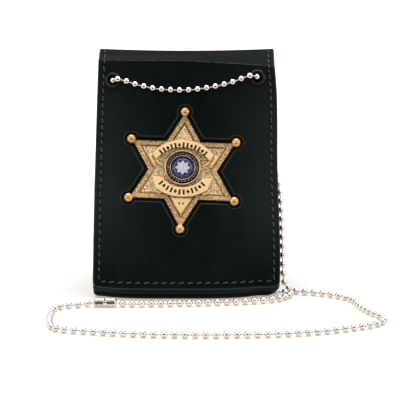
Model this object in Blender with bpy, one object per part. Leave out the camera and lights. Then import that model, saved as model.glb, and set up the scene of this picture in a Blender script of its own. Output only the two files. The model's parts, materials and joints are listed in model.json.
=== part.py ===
"""Badge holder with neck chain: a leather folder that stands like a tent, a star badge let into its
front leaf, and a ball chain through two eyelets.

Metres, +Z up, +X to the right as seen from the front, +Y to the back. The origin is on the floor,
under the middle of the standing holder.

Each leaf is drawn lying in its own frame: X across it, Z along it and away from the badge's point,
and Y from its outer face inwards. The frames are empties on the two fold lines, which are the joint
axes.
"""

import math

import bmesh
import bpy
from mathutils import Matrix, Vector
from mathutils.geometry import tessellate_polygon

# Folder
LEAF_LENGTH = 0.1157
SPINE_WIDTH = 0.016
FOLD_HALF_WIDTH = 0.0433
FRONT_FLARE = 0.0009
FRONT_FLARE_LENGTH = 0.095
SPINE_FLARE = 0.0001
REAR_FLARE = 0.0003
CORNER_RADIUS = 0.0032
REAR_CORNER_RADIUS = 0.0042

# Leather layers
COVER_THICKNESS = 0.0022
BACKING_THICKNESS = 0.0022
LINING_THICKNESS = 0.0022
SPINE_LINING_THICKNESS = 0.0008
LAYER_GAP = 0.0003
EDGE_STEP = 0.0014
EDGE_CHAMFER = 0.00045
FRONT_SETBACK = 0.002
SPINE_LINING_SETBACK = 0.003
REAR_SETBACK = 0.0055

# Standing pose and fold limits
FRONT_LEAN = math.radians(22.5)
REAR_LEAN = math.radians(7.2)
CLOSED_WEDGE = math.radians(8)

# Badge
BADGE_ACROSS = -0.0018
BADGE_BELOW_FOLD = 0.0551
BADGE_TURN = math.radians(-2.2)
TIP_RADIUS = 0.0293
BALL_RADIUS = 0.0024
BALL_DEPTH = 0.0010
STAR_THICKNESS = 0.0014
BORDER_SHARE = 0.099
BORDER_CHAMFER = 0.00025
PANEL_DROP = 0.00025
RECESS_MARGIN = 0.0014
NOTCH_RADIUS = 0.0033
APPLIED_THICKNESS = 0.0008

# Arcs of the banners: how far each is centred up from the badge's middle and its radius, as
# shares of the star's tip radius, and the angle that it reaches to each side
UPPER_OUTER_HUB_SHARE = -0.131
UPPER_OUTER_SHARE = 0.645
UPPER_OUTER_REACH = math.radians(53)
UPPER_INNER_HUB_SHARE = -0.170
UPPER_INNER_SHARE = 0.546
UPPER_INNER_REACH = math.radians(54)
LOWER_OUTER_HUB_SHARE = 0.293
LOWER_OUTER_SHARE = 0.760
LOWER_OUTER_REACH = math.radians(34.5)
LOWER_INNER_HUB_SHARE = 0.474
LOWER_INNER_SHARE = 0.771
LOWER_INNER_REACH = math.radians(40)
BANNER_CHAMFER = 0.0002
POINT_PANEL_MARGIN = 0.0003

# Seal, its place and radii as shares of the star's tip radius
SEAL_UP_SHARE = 0.036
SEAL_RIM_SHARE = 0.298
SEAL_RING_INNER_SHARE = 0.204
ROSETTE_SHARE = 0.122
SEAL_RIM_WIDTH = 0.0006
SEAL_RIM_HEIGHT = 0.0013
SEAL_FIT = 0.0001
SEAL_RING_HEIGHT = 0.0010
SEAL_DISC_HEIGHT = 0.0007
ROSETTE_THICKNESS = 0.0004
ROSETTE_PETALS = 8
ROSETTE_WAVE_SHARE = 0.22

# Badge pin
PIN_HALF_SPAN = 0.0125
PIN_RADIUS = 0.0005
PIN_BLOCK_WIDTH = 0.0030
PIN_BLOCK_LENGTH = 0.0026
PIN_BLOCK_DEPTH = 0.0039
PIN_CLEARANCE = 0.0004
POCKET_DEPTH = 0.0017
POCKET_MARGIN = 0.0012

# Eyelets
EYELET_LEFT_INSET = 0.0073
EYELET_LEFT_BELOW_FOLD = 0.0100
EYELET_RIGHT_INSET = 0.0086
EYELET_RIGHT_BELOW_FOLD = 0.0085
EYELET_BORE_RADIUS = 0.0024
EYELET_WALL = 0.0004
EYELET_FLANGE_RADIUS = 0.0041
EYELET_FLANGE_HEIGHT = 0.00055
EYELET_LIP = 0.0003
EYELET_HOLE_CLEARANCE = 0.0003
WASHER_THICKNESS = 0.0004
WASHER_RADIUS = 0.0044

# Rear leaf pocket
ID_FRAME_THICKNESS = 0.0016
ID_SIDE_BORDER = 0.0096
ID_OPENING_TOP = 0.018
ID_OPENING_BOTTOM_MARGIN = 0.012
ID_OPENING_CORNER = 0.003
ID_RABBET_WIDTH = 0.004
ID_RABBET_DEPTH = 0.0008
ID_WINDOW_THICKNESS = 0.0004
ID_WINDOW_CLEARANCE = 0.0003

# Ball chain
BEAD_RADIUS = 0.0016
BEAD_PITCH = 0.0044
BEAD_SHOULDER = 0.00075
BEAD_SHOULDER_SHARE = 0.92
NECK_START = 0.0015
NECK_SHARE = 0.30
CHAIN_JOIN_GAP = 0.0003
ROUTE_STEPS = 24

# Chain connector
CONNECTOR_PLACE = (-0.0371, -0.0539)
CONNECTOR_HALF_LENGTH = 0.0053
CONNECTOR_RADIUS = 0.0021
CONNECTOR_WALL = 0.0003
CONNECTOR_SLOT_HALF_ANGLE = math.radians(28)
CONNECTOR_SEAT = 0.0001

# Facets
ARC_STEPS = 5
ROUND_SEGMENTS = 24
BALL_SEGMENTS = 14
BALL_RINGS = 4
BANNER_STEPS = 12
SIDE_STEPS = 8


def front_stack():
    """Thickness of the front leaf's three layers with their gaps."""
    return COVER_THICKNESS + BACKING_THICKNESS + LINING_THICKNESS + 2 * LAYER_GAP


def rear_stack():
    """Thickness of the rear leaf's two layers with their gap."""
    return COVER_THICKNESS + LAYER_GAP + ID_FRAME_THICKNESS


def fold_height():
    """Height of the front fold with the front leaf's inner lower edge on the floor."""
    return LEAF_LENGTH * math.cos(FRONT_LEAN) + front_stack() * math.sin(FRONT_LEAN)


def rear_fold_height():
    """Height of the rear fold with the rear leaf's inner lower edge on the floor."""
    depth = rear_stack() - EDGE_CHAMFER
    return LEAF_LENGTH * math.cos(REAR_LEAN) + depth * math.sin(REAR_LEAN)


def spine_lean():
    """Lean of the spine from vertical that joins the two folds."""
    return math.acos((rear_fold_height() - fold_height()) / SPINE_WIDTH)


def fold_back():
    """Distance of the front fold behind the middle of the holder's footprint."""
    front = (LEAF_LENGTH - 2 * EDGE_STEP - EDGE_CHAMFER) * math.sin(FRONT_LEAN)
    foot = (LEAF_LENGTH - EDGE_CHAMFER) * math.sin(REAR_LEAN)
    return (front - SPINE_WIDTH * math.sin(spine_lean()) - foot) / 2


def front_bend_closed():
    """Bend at the front fold when the leaves have closed to their last wedge."""
    return spine_lean() + REAR_LEAN - CLOSED_WEDGE


def rear_bend():
    """Bend at the rear fold in the standing pose."""
    return math.pi - spine_lean() - REAR_LEAN


def material(name, colour, roughness, metallic=0.0, alpha=1.0):
    """A Principled material of one colour."""
    made = bpy.data.materials.new(name)
    made.use_nodes = True
    shader = made.node_tree.nodes["Principled BSDF"]
    shader.inputs["Base Color"].default_value = (*colour, 1.0)
    shader.inputs["Roughness"].default_value = roughness
    shader.inputs["Metallic"].default_value = metallic
    shader.inputs["Alpha"].default_value = alpha
    return made


def frame(name, place, turn):
    """An empty on a fold line, turned about X to lie along its leaf."""
    empty = bpy.data.objects.new(name, None)
    bpy.context.scene.collection.objects.link(empty)
    empty.matrix_world = Matrix.Translation(place) @ Matrix.Rotation(turn, 4, "X")
    return empty


def place_object(name, data, parent, surface):
    """Links a piece into the scene, in its parent's frame and with its own material."""
    piece = bpy.data.objects.new(name, data)
    bpy.context.scene.collection.objects.link(piece)
    piece.parent = parent
    data.materials.append(surface)
    return piece


def solid(name, stacks, parent, surface):
    """A closed piece from stacks of rings.

    The first stack is the outside and any others are holes through it. Each ring is a list of
    points, rings of one stack have equal counts, and the first and last rings are closed by flat
    caps that leave the holes open.
    """
    mesh = bmesh.new()
    rings = [[[mesh.verts.new(p) for p in ring] for ring in stack] for stack in stacks]
    for stack in rings:
        for low, high in zip(stack, stack[1:]):
            for i, corner in enumerate(low):
                j = (i + 1) % len(low)
                mesh.faces.new((corner, low[j], high[j], high[i]))
    for end in (0, -1):
        loops = [stack[end] for stack in rings]
        corners = [corner for loop in loops for corner in loop]
        if len(loops) == 1 and end == 0:
            mesh.faces.new(loops[0])
            continue
        if len(loops) == 1:
            mesh.faces.new(loops[0][::-1])
            continue
        flat = [[corner.co / LAYER_GAP for corner in loop] for loop in loops]
        for triangle in tessellate_polygon(flat):
            mesh.faces.new([corners[i] for i in triangle])
    bmesh.ops.recalc_face_normals(mesh, faces=mesh.faces)
    data = bpy.data.meshes.new(name)
    mesh.to_mesh(data)
    mesh.free()
    data.shade_smooth()
    data.set_sharp_from_angle(angle=math.radians(35))
    return place_object(name, data, parent, surface)


def at_depth(loop, depth):
    """A flat loop of (across, along) points as a ring at one depth."""
    return [(across, depth, along) for across, along in loop]


def inset(loop, distance):
    """The loop moved inwards by a distance, corner by corner; the loop runs anticlockwise."""
    moved = []
    for i, point in enumerate(loop):
        here = Vector(point)
        before = (here - Vector(loop[i - 1])).normalized()
        after = (Vector(loop[(i + 1) % len(loop)]) - here).normalized()
        normal = Vector((-(before.y + after.y), before.x + after.x))
        moved.append(tuple(here + normal * distance / (1 + before.dot(after))))
    return moved


def arc(centre, radius, start, end, steps):
    """Points on an arc, both ends included."""
    angles = [start + (end - start) * i / steps for i in range(steps + 1)]
    return [(centre[0] + radius * math.cos(a), centre[1] + radius * math.sin(a)) for a in angles]


def circle(centre, radius, segments=ROUND_SEGMENTS):
    """A closed loop of points round a circle."""
    return arc(centre, radius, 0, 2 * math.pi, segments)[:-1]


def rounded_box(half_width, low, high, radius):
    """A rounded rectangle centred across, from low to high along."""
    side = half_width - radius
    quarter = math.pi / 2
    return (
        arc((side, low + radius), radius, -quarter, 0, ARC_STEPS)
        + arc((side, high - radius), radius, 0, quarter, ARC_STEPS)
        + arc((-side, high - radius), radius, quarter, 2 * quarter, ARC_STEPS)
        + arc((-side, low + radius), radius, 2 * quarter, 3 * quarter, ARC_STEPS)
    )


def plate(name, outlines, holes, top, bottom, parent, surface, chamfer=EDGE_CHAMFER):
    """A sheet between two depths, with chamfered rims on its outer face and any holes cut through.

    outlines are those of its face, of its rim below the chamfer and of its back.
    """
    face, rim, back = outlines
    stacks = [[at_depth(back, bottom), at_depth(rim, top + chamfer), at_depth(face, top)]]
    for hole in holes:
        widened = inset(hole, -chamfer)
        stacks.append([at_depth(hole, bottom), at_depth(hole, top + chamfer), at_depth(widened, top)])
    return solid(name, stacks, parent, surface)


def leaf_half_width(below):
    """Half width of the front leaf at a distance below the fold: it flares gently to its widest."""
    share = min(below / FRONT_FLARE_LENGTH, 1)
    return FOLD_HALF_WIDTH + FRONT_FLARE * (1 - (1 - share) ** 2)


def front_outline(start, length, margin=0.0):
    """Outline of a front-leaf layer from start to length below the fold, running anticlockwise.

    The margin draws in its sides and its lower edge.
    """
    radius = CORNER_RADIUS - margin
    low = length - margin - radius
    side = leaf_half_width(length) - margin - radius
    belows = [start + (low - start) * i / SIDE_STEPS for i in range(SIDE_STEPS)]
    right = [(leaf_half_width(below) - margin, -below) for below in belows]
    corner = arc((side, -low), radius, -math.pi / 2, 0, ARC_STEPS)
    left_corner = [(-x, z) for x, z in reversed(corner)]
    left = [(-x, z) for x, z in right]
    return left + left_corner + corner + right[::-1]


def mitre(bend, depth):
    """How far a cover stays short of its fold at a depth, so that the fold can bend that far."""
    return LAYER_GAP / 2 + depth * math.tan(bend / 2)


def front_layer(setback, length):
    """The three outlines of an inner layer of the front leaf."""
    rim = front_outline(setback, length)
    return front_outline(setback, length, EDGE_CHAMFER), rim, rim


def turned(across, along, turn=BADGE_TURN):
    """A point given from the badge's middle, turned with the badge, in the front leaf's frame."""
    x = BADGE_ACROSS + across * math.cos(turn) - along * math.sin(turn)
    z = -BADGE_BELOW_FOLD + across * math.sin(turn) + along * math.cos(turn)
    return x, z


def on_badge(loop):
    """A loop drawn about the badge's middle, in the front leaf's frame."""
    return [turned(*point) for point in loop]


def star_loop(radius):
    """A six-pointed star of two crossed triangles, anticlockwise, one point up."""
    points = []
    for i in range(12):
        reach = radius if i % 2 == 0 else radius / math.sqrt(3)
        angle = math.pi / 2 + i * math.pi / 6
        points.append((reach * math.cos(angle), reach * math.sin(angle)))
    return points


def recess_loop():
    """The star's cut-out: its outline with a margin, and a round notch at each ball."""
    inner_radius = (TIP_RADIUS + 2 * RECESS_MARGIN) / math.sqrt(3)
    points = []
    for i in range(6):
        angle = math.pi / 2 + i * math.pi / 3
        centre = (TIP_RADIUS * math.cos(angle), TIP_RADIUS * math.sin(angle))
        half_opening = math.pi - math.pi / 6 - math.asin(RECESS_MARGIN / NOTCH_RADIUS)
        points += arc(centre, NOTCH_RADIUS, angle - half_opening, angle + half_opening, 2 * ARC_STEPS)
        between = angle + math.pi / 6
        points.append((inner_radius * math.cos(between), inner_radius * math.sin(between)))
    return points


def eyelet_places():
    """(side, across, along) of the two eyelets in the front leaf's frame."""
    return (
        ("left", EYELET_LEFT_INSET - FOLD_HALF_WIDTH, -EYELET_LEFT_BELOW_FOLD),
        ("right", FOLD_HALF_WIDTH - EYELET_RIGHT_INSET, -EYELET_RIGHT_BELOW_FOLD),
    )


def eyelet_holes():
    """The holes in the leather for the two eyelets."""
    radius = EYELET_BORE_RADIUS + EYELET_WALL + EYELET_HOLE_CLEARANCE
    return [circle((x, z), radius) for _, x, z in eyelet_places()]


def box_loop(x_low, x_high, z_low, z_high):
    """A plain rectangle, anticlockwise."""
    return [(x_low, z_low), (x_high, z_low), (x_high, z_high), (x_low, z_high)]


def pin_block_loop(side, margin=0.0):
    """The foot of the pin's joint or catch on the badge's middle line, with a margin."""
    half_length = PIN_BLOCK_LENGTH / 2 + margin
    half_width = PIN_BLOCK_WIDTH / 2 + margin
    middle = side * PIN_HALF_SPAN
    return on_badge(box_loop(middle - half_length, middle + half_length, -half_width, half_width))


def build_front_leaf(parent, leather):
    """Cover with the cut-out, backing with the pin's slots, and lining with the pin's pocket."""
    length = LEAF_LENGTH - 2 * EDGE_STEP
    bend = front_bend_closed()
    outlines = (
        front_outline(mitre(bend, 0), length, EDGE_CHAMFER),
        front_outline(mitre(bend, EDGE_CHAMFER), length),
        front_outline(mitre(bend, COVER_THICKNESS), length),
    )
    holes = [on_badge(recess_loop())] + eyelet_holes()
    plate("front_cover", outlines, holes, 0, COVER_THICKNESS, parent, leather)
    backing_top = COVER_THICKNESS + LAYER_GAP
    slots = [pin_block_loop(side, PIN_CLEARANCE) for side in (-1, 1)]
    plate(
        "badge_backing",
        front_layer(FRONT_SETBACK, LEAF_LENGTH - EDGE_STEP),
        eyelet_holes() + slots,
        backing_top,
        backing_top + BACKING_THICKNESS,
        parent,
        leather,
    )
    lining_top = backing_top + BACKING_THICKNESS + LAYER_GAP
    lining = plate(
        "front_lining",
        front_layer(FRONT_SETBACK, LEAF_LENGTH),
        eyelet_holes(),
        lining_top,
        lining_top + LINING_THICKNESS,
        parent,
        leather,
    )
    reach = PIN_HALF_SPAN + PIN_BLOCK_LENGTH / 2 + POCKET_MARGIN
    half_width = PIN_BLOCK_WIDTH / 2 + POCKET_MARGIN
    pocket = on_badge(box_loop(-reach, reach, -half_width, half_width))
    cut = cutter(
        "pin_pocket_cutter",
        [at_depth(pocket, lining_top + POCKET_DEPTH), at_depth(pocket, lining_top - LAYER_GAP)],
        parent,
    )
    boolean(lining, cut, "DIFFERENCE")


def cutter(name, rings, parent):
    """A hidden solid that only cuts others."""
    tool = solid(name, [rings], parent, material(name, (0.8, 0.2, 0.2), 0.5))
    tool.hide_render = True
    tool.display_type = "WIRE"
    return tool


def boolean(piece, tool, operation):
    """Cuts or joins a piece with a hidden solid."""
    change = piece.modifiers.new(tool.name, "BOOLEAN")
    change.operation = operation
    change.object = tool
    change.solver = "EXACT"


def round_rings(centre, profile, segments=ROUND_SEGMENTS):
    """Rings round one axis from a profile of (radius, depth)."""
    return [at_depth(circle(centre, radius, segments), depth) for radius, depth in profile]


def build_eyelets(parent, metal):
    """Each eyelet is a flanged tube through the leather, with a washer at the back."""
    barrel = EYELET_BORE_RADIUS + EYELET_WALL
    back = front_stack() + LAYER_GAP
    end = back + WASHER_THICKNESS + EYELET_LIP
    flange = -LAYER_GAP
    top = flange - EYELET_FLANGE_HEIGHT
    for side, x, z in eyelet_places():
        outside = [
            (barrel, end),
            (barrel, flange),
            (EYELET_FLANGE_RADIUS, flange),
            (EYELET_FLANGE_RADIUS, top + EYELET_LIP),
            (EYELET_FLANGE_RADIUS - EYELET_LIP, top),
        ]
        bore = [
            (EYELET_BORE_RADIUS, end),
            (EYELET_BORE_RADIUS, top + EYELET_LIP),
            (EYELET_BORE_RADIUS + EYELET_LIP, top),
        ]
        stacks = [round_rings((x, z), outside), round_rings((x, z), bore)]
        solid("eyelet_" + side, stacks, parent, metal)
        inside = barrel + EYELET_HOLE_CLEARANCE
        stacks = [
            round_rings((x, z), [(WASHER_RADIUS, back + WASHER_THICKNESS), (WASHER_RADIUS, back)]),
            round_rings((x, z), [(inside, back + WASHER_THICKNESS), (inside, back)]),
        ]
        solid("eyelet_washer_" + side, stacks, parent, metal)


def raised(name, loop, back, height, chamfer, parent, surface):
    """A low plate on the badge, its front rim chamfered."""
    outline = on_badge(loop)
    rings = [
        at_depth(outline, back),
        at_depth(outline, back - height + chamfer),
        at_depth(inset(outline, chamfer), back - height),
    ]
    return solid(name, [rings], parent, surface)


def banner_arc(hub_share, radius_share, reach, middle):
    """One edge of a banner, about the angle of its crown."""
    hub = (0, TIP_RADIUS * hub_share)
    return arc(hub, TIP_RADIUS * radius_share, middle - reach, middle + reach, BANNER_STEPS)


def upper_banner_loop():
    """Outline of the arched banner over the seal."""
    up = math.pi / 2
    outer = banner_arc(UPPER_OUTER_HUB_SHARE, UPPER_OUTER_SHARE, UPPER_OUTER_REACH, up)
    inner = banner_arc(UPPER_INNER_HUB_SHARE, UPPER_INNER_SHARE, UPPER_INNER_REACH, up)
    return outer + inner[::-1]


def lower_banner_loop():
    """Outline of the hanging banner under the seal."""
    down = -math.pi / 2
    outer = banner_arc(LOWER_OUTER_HUB_SHARE, LOWER_OUTER_SHARE, LOWER_OUTER_REACH, down)
    inner = banner_arc(LOWER_INNER_HUB_SHARE, LOWER_INNER_SHARE, LOWER_INNER_REACH, down)
    return outer + inner[::-1]


def build_star(parent, gold):
    """The struck plate: a raised border round a lower panel, and a ball on each tip."""
    back = COVER_THICKNESS
    top = back - STAR_THICKNESS
    outline = star_loop(TIP_RADIUS)
    border = TIP_RADIUS * BORDER_SHARE
    rings = [
        at_depth(on_badge(outline), back),
        at_depth(on_badge(outline), top + BORDER_CHAMFER),
        at_depth(on_badge(inset(outline, BORDER_CHAMFER)), top),
        at_depth(on_badge(inset(outline, border)), top),
        at_depth(on_badge(inset(outline, border + PANEL_DROP)), top + PANEL_DROP),
    ]
    star = solid("badge_star", [rings], parent, gold)
    flat = BALL_RADIUS**2 - (back - BALL_DEPTH) ** 2
    profile = [(math.sqrt(flat), back)]
    start = math.asin((back - BALL_DEPTH) / BALL_RADIUS)
    for i in range(1, BALL_RINGS + 2):
        angle = start - (start + math.pi / 2) * i / (BALL_RINGS + 2)
        depth = BALL_DEPTH + BALL_RADIUS * math.sin(angle)
        profile.append((BALL_RADIUS * math.cos(angle), depth))
    for i in range(6):
        angle = math.pi / 2 + i * math.pi / 3
        centre = turned(TIP_RADIUS * math.cos(angle), TIP_RADIUS * math.sin(angle))
        ball = cutter("ball_tip_%d" % (i + 1), round_rings(centre, profile, BALL_SEGMENTS), parent)
        boolean(star, ball, "UNION")


def build_applied_panels(parent, polished):
    """Banners on the star's border, and the panel in its lowest point."""
    seat = COVER_THICKNESS - STAR_THICKNESS - LAYER_GAP
    for name, loop in (("upper_banner", upper_banner_loop()), ("lower_banner", lower_banner_loop())):
        raised(name, loop, seat, APPLIED_THICKNESS, BANNER_CHAMFER, parent, polished)
    crown = TIP_RADIUS * (LOWER_OUTER_SHARE - LOWER_OUTER_HUB_SHARE)
    top = -crown - POINT_PANEL_MARGIN
    margin = TIP_RADIUS * BORDER_SHARE + PANEL_DROP + POINT_PANEL_MARGIN
    margin /= math.sin(math.pi / 6)
    apex = margin - TIP_RADIUS
    half = (top - apex) * math.tan(math.pi / 6)
    panel = [(0, apex), (half, top), (-half, top)]
    height = APPLIED_THICKNESS / 2
    raised("point_panel", panel, seat + PANEL_DROP, height, BANNER_CHAMFER, parent, polished)


def build_seal(parent, gold, navy, blue, white):
    """Rim, enamel ring, enamel disc and a generic rosette, stacked from the outside in."""
    seat = COVER_THICKNESS - STAR_THICKNESS - LAYER_GAP + PANEL_DROP
    up = TIP_RADIUS * SEAL_UP_SHARE
    centre = turned(0, up)
    outside = TIP_RADIUS * SEAL_RIM_SHARE
    inside = outside - SEAL_RIM_WIDTH
    top = seat - SEAL_RIM_HEIGHT
    stacks = [
        round_rings(
            centre,
            [
                (outside, seat),
                (outside, top + BORDER_CHAMFER),
                (outside - BORDER_CHAMFER, top),
            ],
        ),
        round_rings(centre, [(inside, seat), (inside, top + BORDER_CHAMFER), (inside, top)]),
    ]
    solid("seal_rim", stacks, parent, gold)
    ring_outside = inside - SEAL_FIT
    ring_top = seat - SEAL_RING_HEIGHT
    ring_inside = TIP_RADIUS * SEAL_RING_INNER_SHARE
    stacks = [
        round_rings(centre, [(ring_outside, seat), (ring_outside, ring_top)]),
        round_rings(centre, [(ring_inside, seat), (ring_inside, ring_top)]),
    ]
    solid("seal_ring", stacks, parent, navy)
    disc_radius = ring_inside - SEAL_FIT
    disc_top = seat - SEAL_DISC_HEIGHT
    disc = round_rings(centre, [(disc_radius, seat), (disc_radius, disc_top)])
    solid("seal_disc", [disc], parent, blue)
    petals = []
    steps = ROSETTE_PETALS * 6
    for i in range(steps):
        angle = 2 * math.pi * i / steps
        wave = 1 - ROSETTE_WAVE_SHARE * (1 - math.cos(ROSETTE_PETALS * angle)) / 2
        reach = TIP_RADIUS * ROSETTE_SHARE * wave
        petals.append((reach * math.cos(angle), up + reach * math.sin(angle)))
    raised(
        "seal_rosette",
        petals,
        disc_top - SEAL_FIT,
        ROSETTE_THICKNESS,
        SEAL_FIT,
        parent,
        white,
    )


def build_pin(parent, steel):
    """Joint block, stem and catch on the badge's back, in the backing's slots."""
    seat = COVER_THICKNESS + LAYER_GAP
    end = seat + PIN_BLOCK_DEPTH
    stem_depth = end - PIN_RADIUS - PIN_CLEARANCE
    for name, side in (("pin_joint", -1), ("pin_catch", 1)):
        loop = pin_block_loop(side)
        block = solid(name, [[at_depth(loop, end), at_depth(loop, seat)]], parent, steel)
        bore = pin_rod(
            name + "_bore_cutter",
            PIN_RADIUS + PIN_CLEARANCE / 2,
            side * (PIN_HALF_SPAN - PIN_BLOCK_LENGTH),
            side * (PIN_HALF_SPAN + PIN_BLOCK_LENGTH),
            stem_depth,
            parent,
            steel,
        )
        bore.hide_render = True
        bore.display_type = "WIRE"
        boolean(block, bore, "DIFFERENCE")
    reach = PIN_HALF_SPAN + PIN_BLOCK_LENGTH / 2 + PIN_CLEARANCE
    pin_rod("pin_stem", PIN_RADIUS, -reach, reach, stem_depth, parent, steel)


def pin_rod(name, radius, start, end, depth, parent, surface):
    """A thin round bar across the badge's middle line at one depth."""
    low, high = sorted((start, end))
    rings = []
    for across in (low, high):
        loop = circle((0, depth), radius, BALL_SEGMENTS)
        ring = []
        for along, deep in loop:
            x, z = turned(across, along)
            ring.append((x, deep, z))
        rings.append(ring)
    return solid(name, [rings], parent, surface)


def spine_outline(low, high, margin):
    """Outline of a spine layer between two distances from the front fold."""
    near = FOLD_HALF_WIDTH + SPINE_FLARE * low / SPINE_WIDTH - margin
    far = FOLD_HALF_WIDTH + SPINE_FLARE * high / SPINE_WIDTH - margin
    return [(-near, low), (near, low), (far, high), (-far, high)]


def build_spine(parent, leather):
    """The strip between the folds, and its short lining."""
    outlines = []
    for depth, margin in ((0, EDGE_CHAMFER), (EDGE_CHAMFER, 0), (COVER_THICKNESS, 0)):
        low = mitre(front_bend_closed(), depth)
        high = SPINE_WIDTH - mitre(rear_bend(), depth)
        outlines.append(spine_outline(low, high, margin))
    plate("spine_cover", outlines, [], 0, COVER_THICKNESS, parent, leather)
    top = COVER_THICKNESS + LAYER_GAP
    high = SPINE_WIDTH - SPINE_LINING_SETBACK - COVER_THICKNESS
    outline = spine_outline(SPINE_LINING_SETBACK, high, 0)
    bottom = top + SPINE_LINING_THICKNESS
    rings = [at_depth(outline, bottom), at_depth(outline, top)]
    solid("spine_lining", [rings], parent, leather)


def rear_outline(start, margin=0.0):
    """Outline of a rear-leaf layer: square at the fold, rounded at the foot, anticlockwise."""
    radius = REAR_CORNER_RADIUS - margin
    width = FOLD_HALF_WIDTH + REAR_FLARE - margin
    foot = (width - radius, LEAF_LENGTH - margin - radius)
    corner = arc(foot, radius, 0, math.pi / 2, ARC_STEPS)
    left = [(-x, z) for x, z in reversed(corner)]
    return [(-width, start), (width, start)] + corner + left


def build_rear_leaf(parent, leather, clear):
    """Cover, and inside it the leather frame that holds a clear window."""
    bend = rear_bend()
    outlines = (
        rear_outline(mitre(bend, 0), EDGE_CHAMFER),
        rear_outline(mitre(bend, EDGE_CHAMFER)),
        rear_outline(mitre(bend, COVER_THICKNESS)),
    )
    plate("rear_cover", outlines, [], 0, COVER_THICKNESS, parent, leather)
    top = COVER_THICKNESS + LAYER_GAP
    low = ID_OPENING_TOP
    high = LEAF_LENGTH - ID_OPENING_BOTTOM_MARGIN
    half_width = FOLD_HALF_WIDTH + REAR_FLARE - ID_SIDE_BORDER
    opening = rounded_box(half_width, low, high, ID_OPENING_CORNER)
    rabbet = rounded_box(
        half_width + ID_RABBET_WIDTH,
        low - ID_RABBET_WIDTH,
        high + ID_RABBET_WIDTH,
        ID_OPENING_CORNER,
    )
    outline = rear_outline(REAR_SETBACK)
    bottom = top + ID_FRAME_THICKNESS
    shelf = top + ID_RABBET_DEPTH
    stacks = [
        [
            at_depth(outline, top),
            at_depth(outline, bottom - EDGE_CHAMFER),
            at_depth(inset(outline, EDGE_CHAMFER), bottom),
        ],
        [
            at_depth(rabbet, top),
            at_depth(rabbet, shelf),
            at_depth(opening, shelf),
            at_depth(opening, bottom - EDGE_CHAMFER),
            at_depth(inset(opening, -EDGE_CHAMFER), bottom),
        ],
    ]
    solid("id_frame", stacks, parent, leather)
    window = inset(rabbet, ID_WINDOW_CLEARANCE)
    window_top = shelf - ID_WINDOW_CLEARANCE - ID_WINDOW_THICKNESS
    rings = [at_depth(window, window_top + ID_WINDOW_THICKNESS), at_depth(window, window_top)]
    solid("id_window", [rings], parent, clear)


def leaf_point(across, below, depth):
    """A point of the front leaf, given below the fold and in from the outer face, in the world."""
    back = -below * math.sin(FRONT_LEAN) + depth * math.cos(FRONT_LEAN)
    up = -below * math.cos(FRONT_LEAN) - depth * math.sin(FRONT_LEAN)
    return Vector((across, fold_back() + back, fold_height() + up))


def floor_route(points):
    """Route points on the floor, where the beads' middles lie one radius up."""
    return [Vector((x, y, BEAD_RADIUS)) for x, y in points]


def swag_route():
    """The chain across the front, from one eyelet's bore to the other's."""
    return [
        leaf_point(*point)
        for point in (
            (-0.0360, 0.0100, 0.0026),
            (-0.0360, 0.0100, 0.0004),
            (-0.0355, 0.0101, -0.0012),
            (-0.0345, 0.0102, -0.0024),
            (-0.0327, 0.0104, -0.0028),
            (-0.0300, 0.0110, -0.0025),
            (-0.0270, 0.0119, -0.0020),
            (-0.0230, 0.0131, -0.0019),
            (-0.0150, 0.0148, -0.0019),
            (-0.0070, 0.0155, -0.0019),
            (0.0010, 0.0155, -0.0019),
            (0.0090, 0.0146, -0.0019),
            (0.0170, 0.0130, -0.0019),
            (0.0228, 0.0113, -0.0019),
            (0.0266, 0.0099, -0.0021),
            (0.0292, 0.0089, -0.0025),
            (0.0315, 0.0085, -0.0028),
            (0.0333, 0.0085, -0.0024),
            (0.0343, 0.0085, -0.0012),
            (0.0346, 0.0085, 0.0012),
        )
    ]


def left_route():
    """The chain from the left eyelet, slanting down behind the front leaf, round its lower right
    corner and along the floor before it to the connector."""
    hidden = [
        leaf_point(*point)
        for point in (
            (-0.0359, 0.0099, 0.0030),
            (-0.0358, 0.0098, 0.0066),
            (-0.0355, 0.0109, 0.0092),
            (-0.0354, 0.0145, 0.0104),
            (-0.0351, 0.0250, 0.0118),
            (-0.0345, 0.0430, 0.0140),
            (-0.0328, 0.0610, 0.0162),
            (-0.0294, 0.0780, 0.0182),
            (-0.0234, 0.0920, 0.0198),
            (-0.0150, 0.1008, 0.0206),
        )
    ]
    place = CONNECTOR_PLACE
    return (
        hidden
        + floor_route(
            (
                (-0.0060, -0.0162),
                (0.0050, -0.0189),
                (0.0160, -0.0213),
                (0.0260, -0.0240),
                (0.0350, -0.0264),
                (0.0410, -0.0269),
                (0.0458, -0.0275),
                (0.0490, -0.0294),
                (0.0500, -0.0322),
                (0.0488, -0.0356),
                (0.0468, -0.0390),
                (0.0442, -0.0420),
                (0.0409, -0.0445),
                (0.0366, -0.0462),
                (0.0288, -0.0484),
                (0.0199, -0.0502),
                (0.0110, -0.0514),
                (0.0021, -0.0524),
                (-0.0068, -0.0533),
                (-0.0156, -0.0540),
                (-0.0235, -0.0543),
                (-0.0285, -0.0541),
            )
        )
        + connector_end(place, 1)
    )


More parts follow.
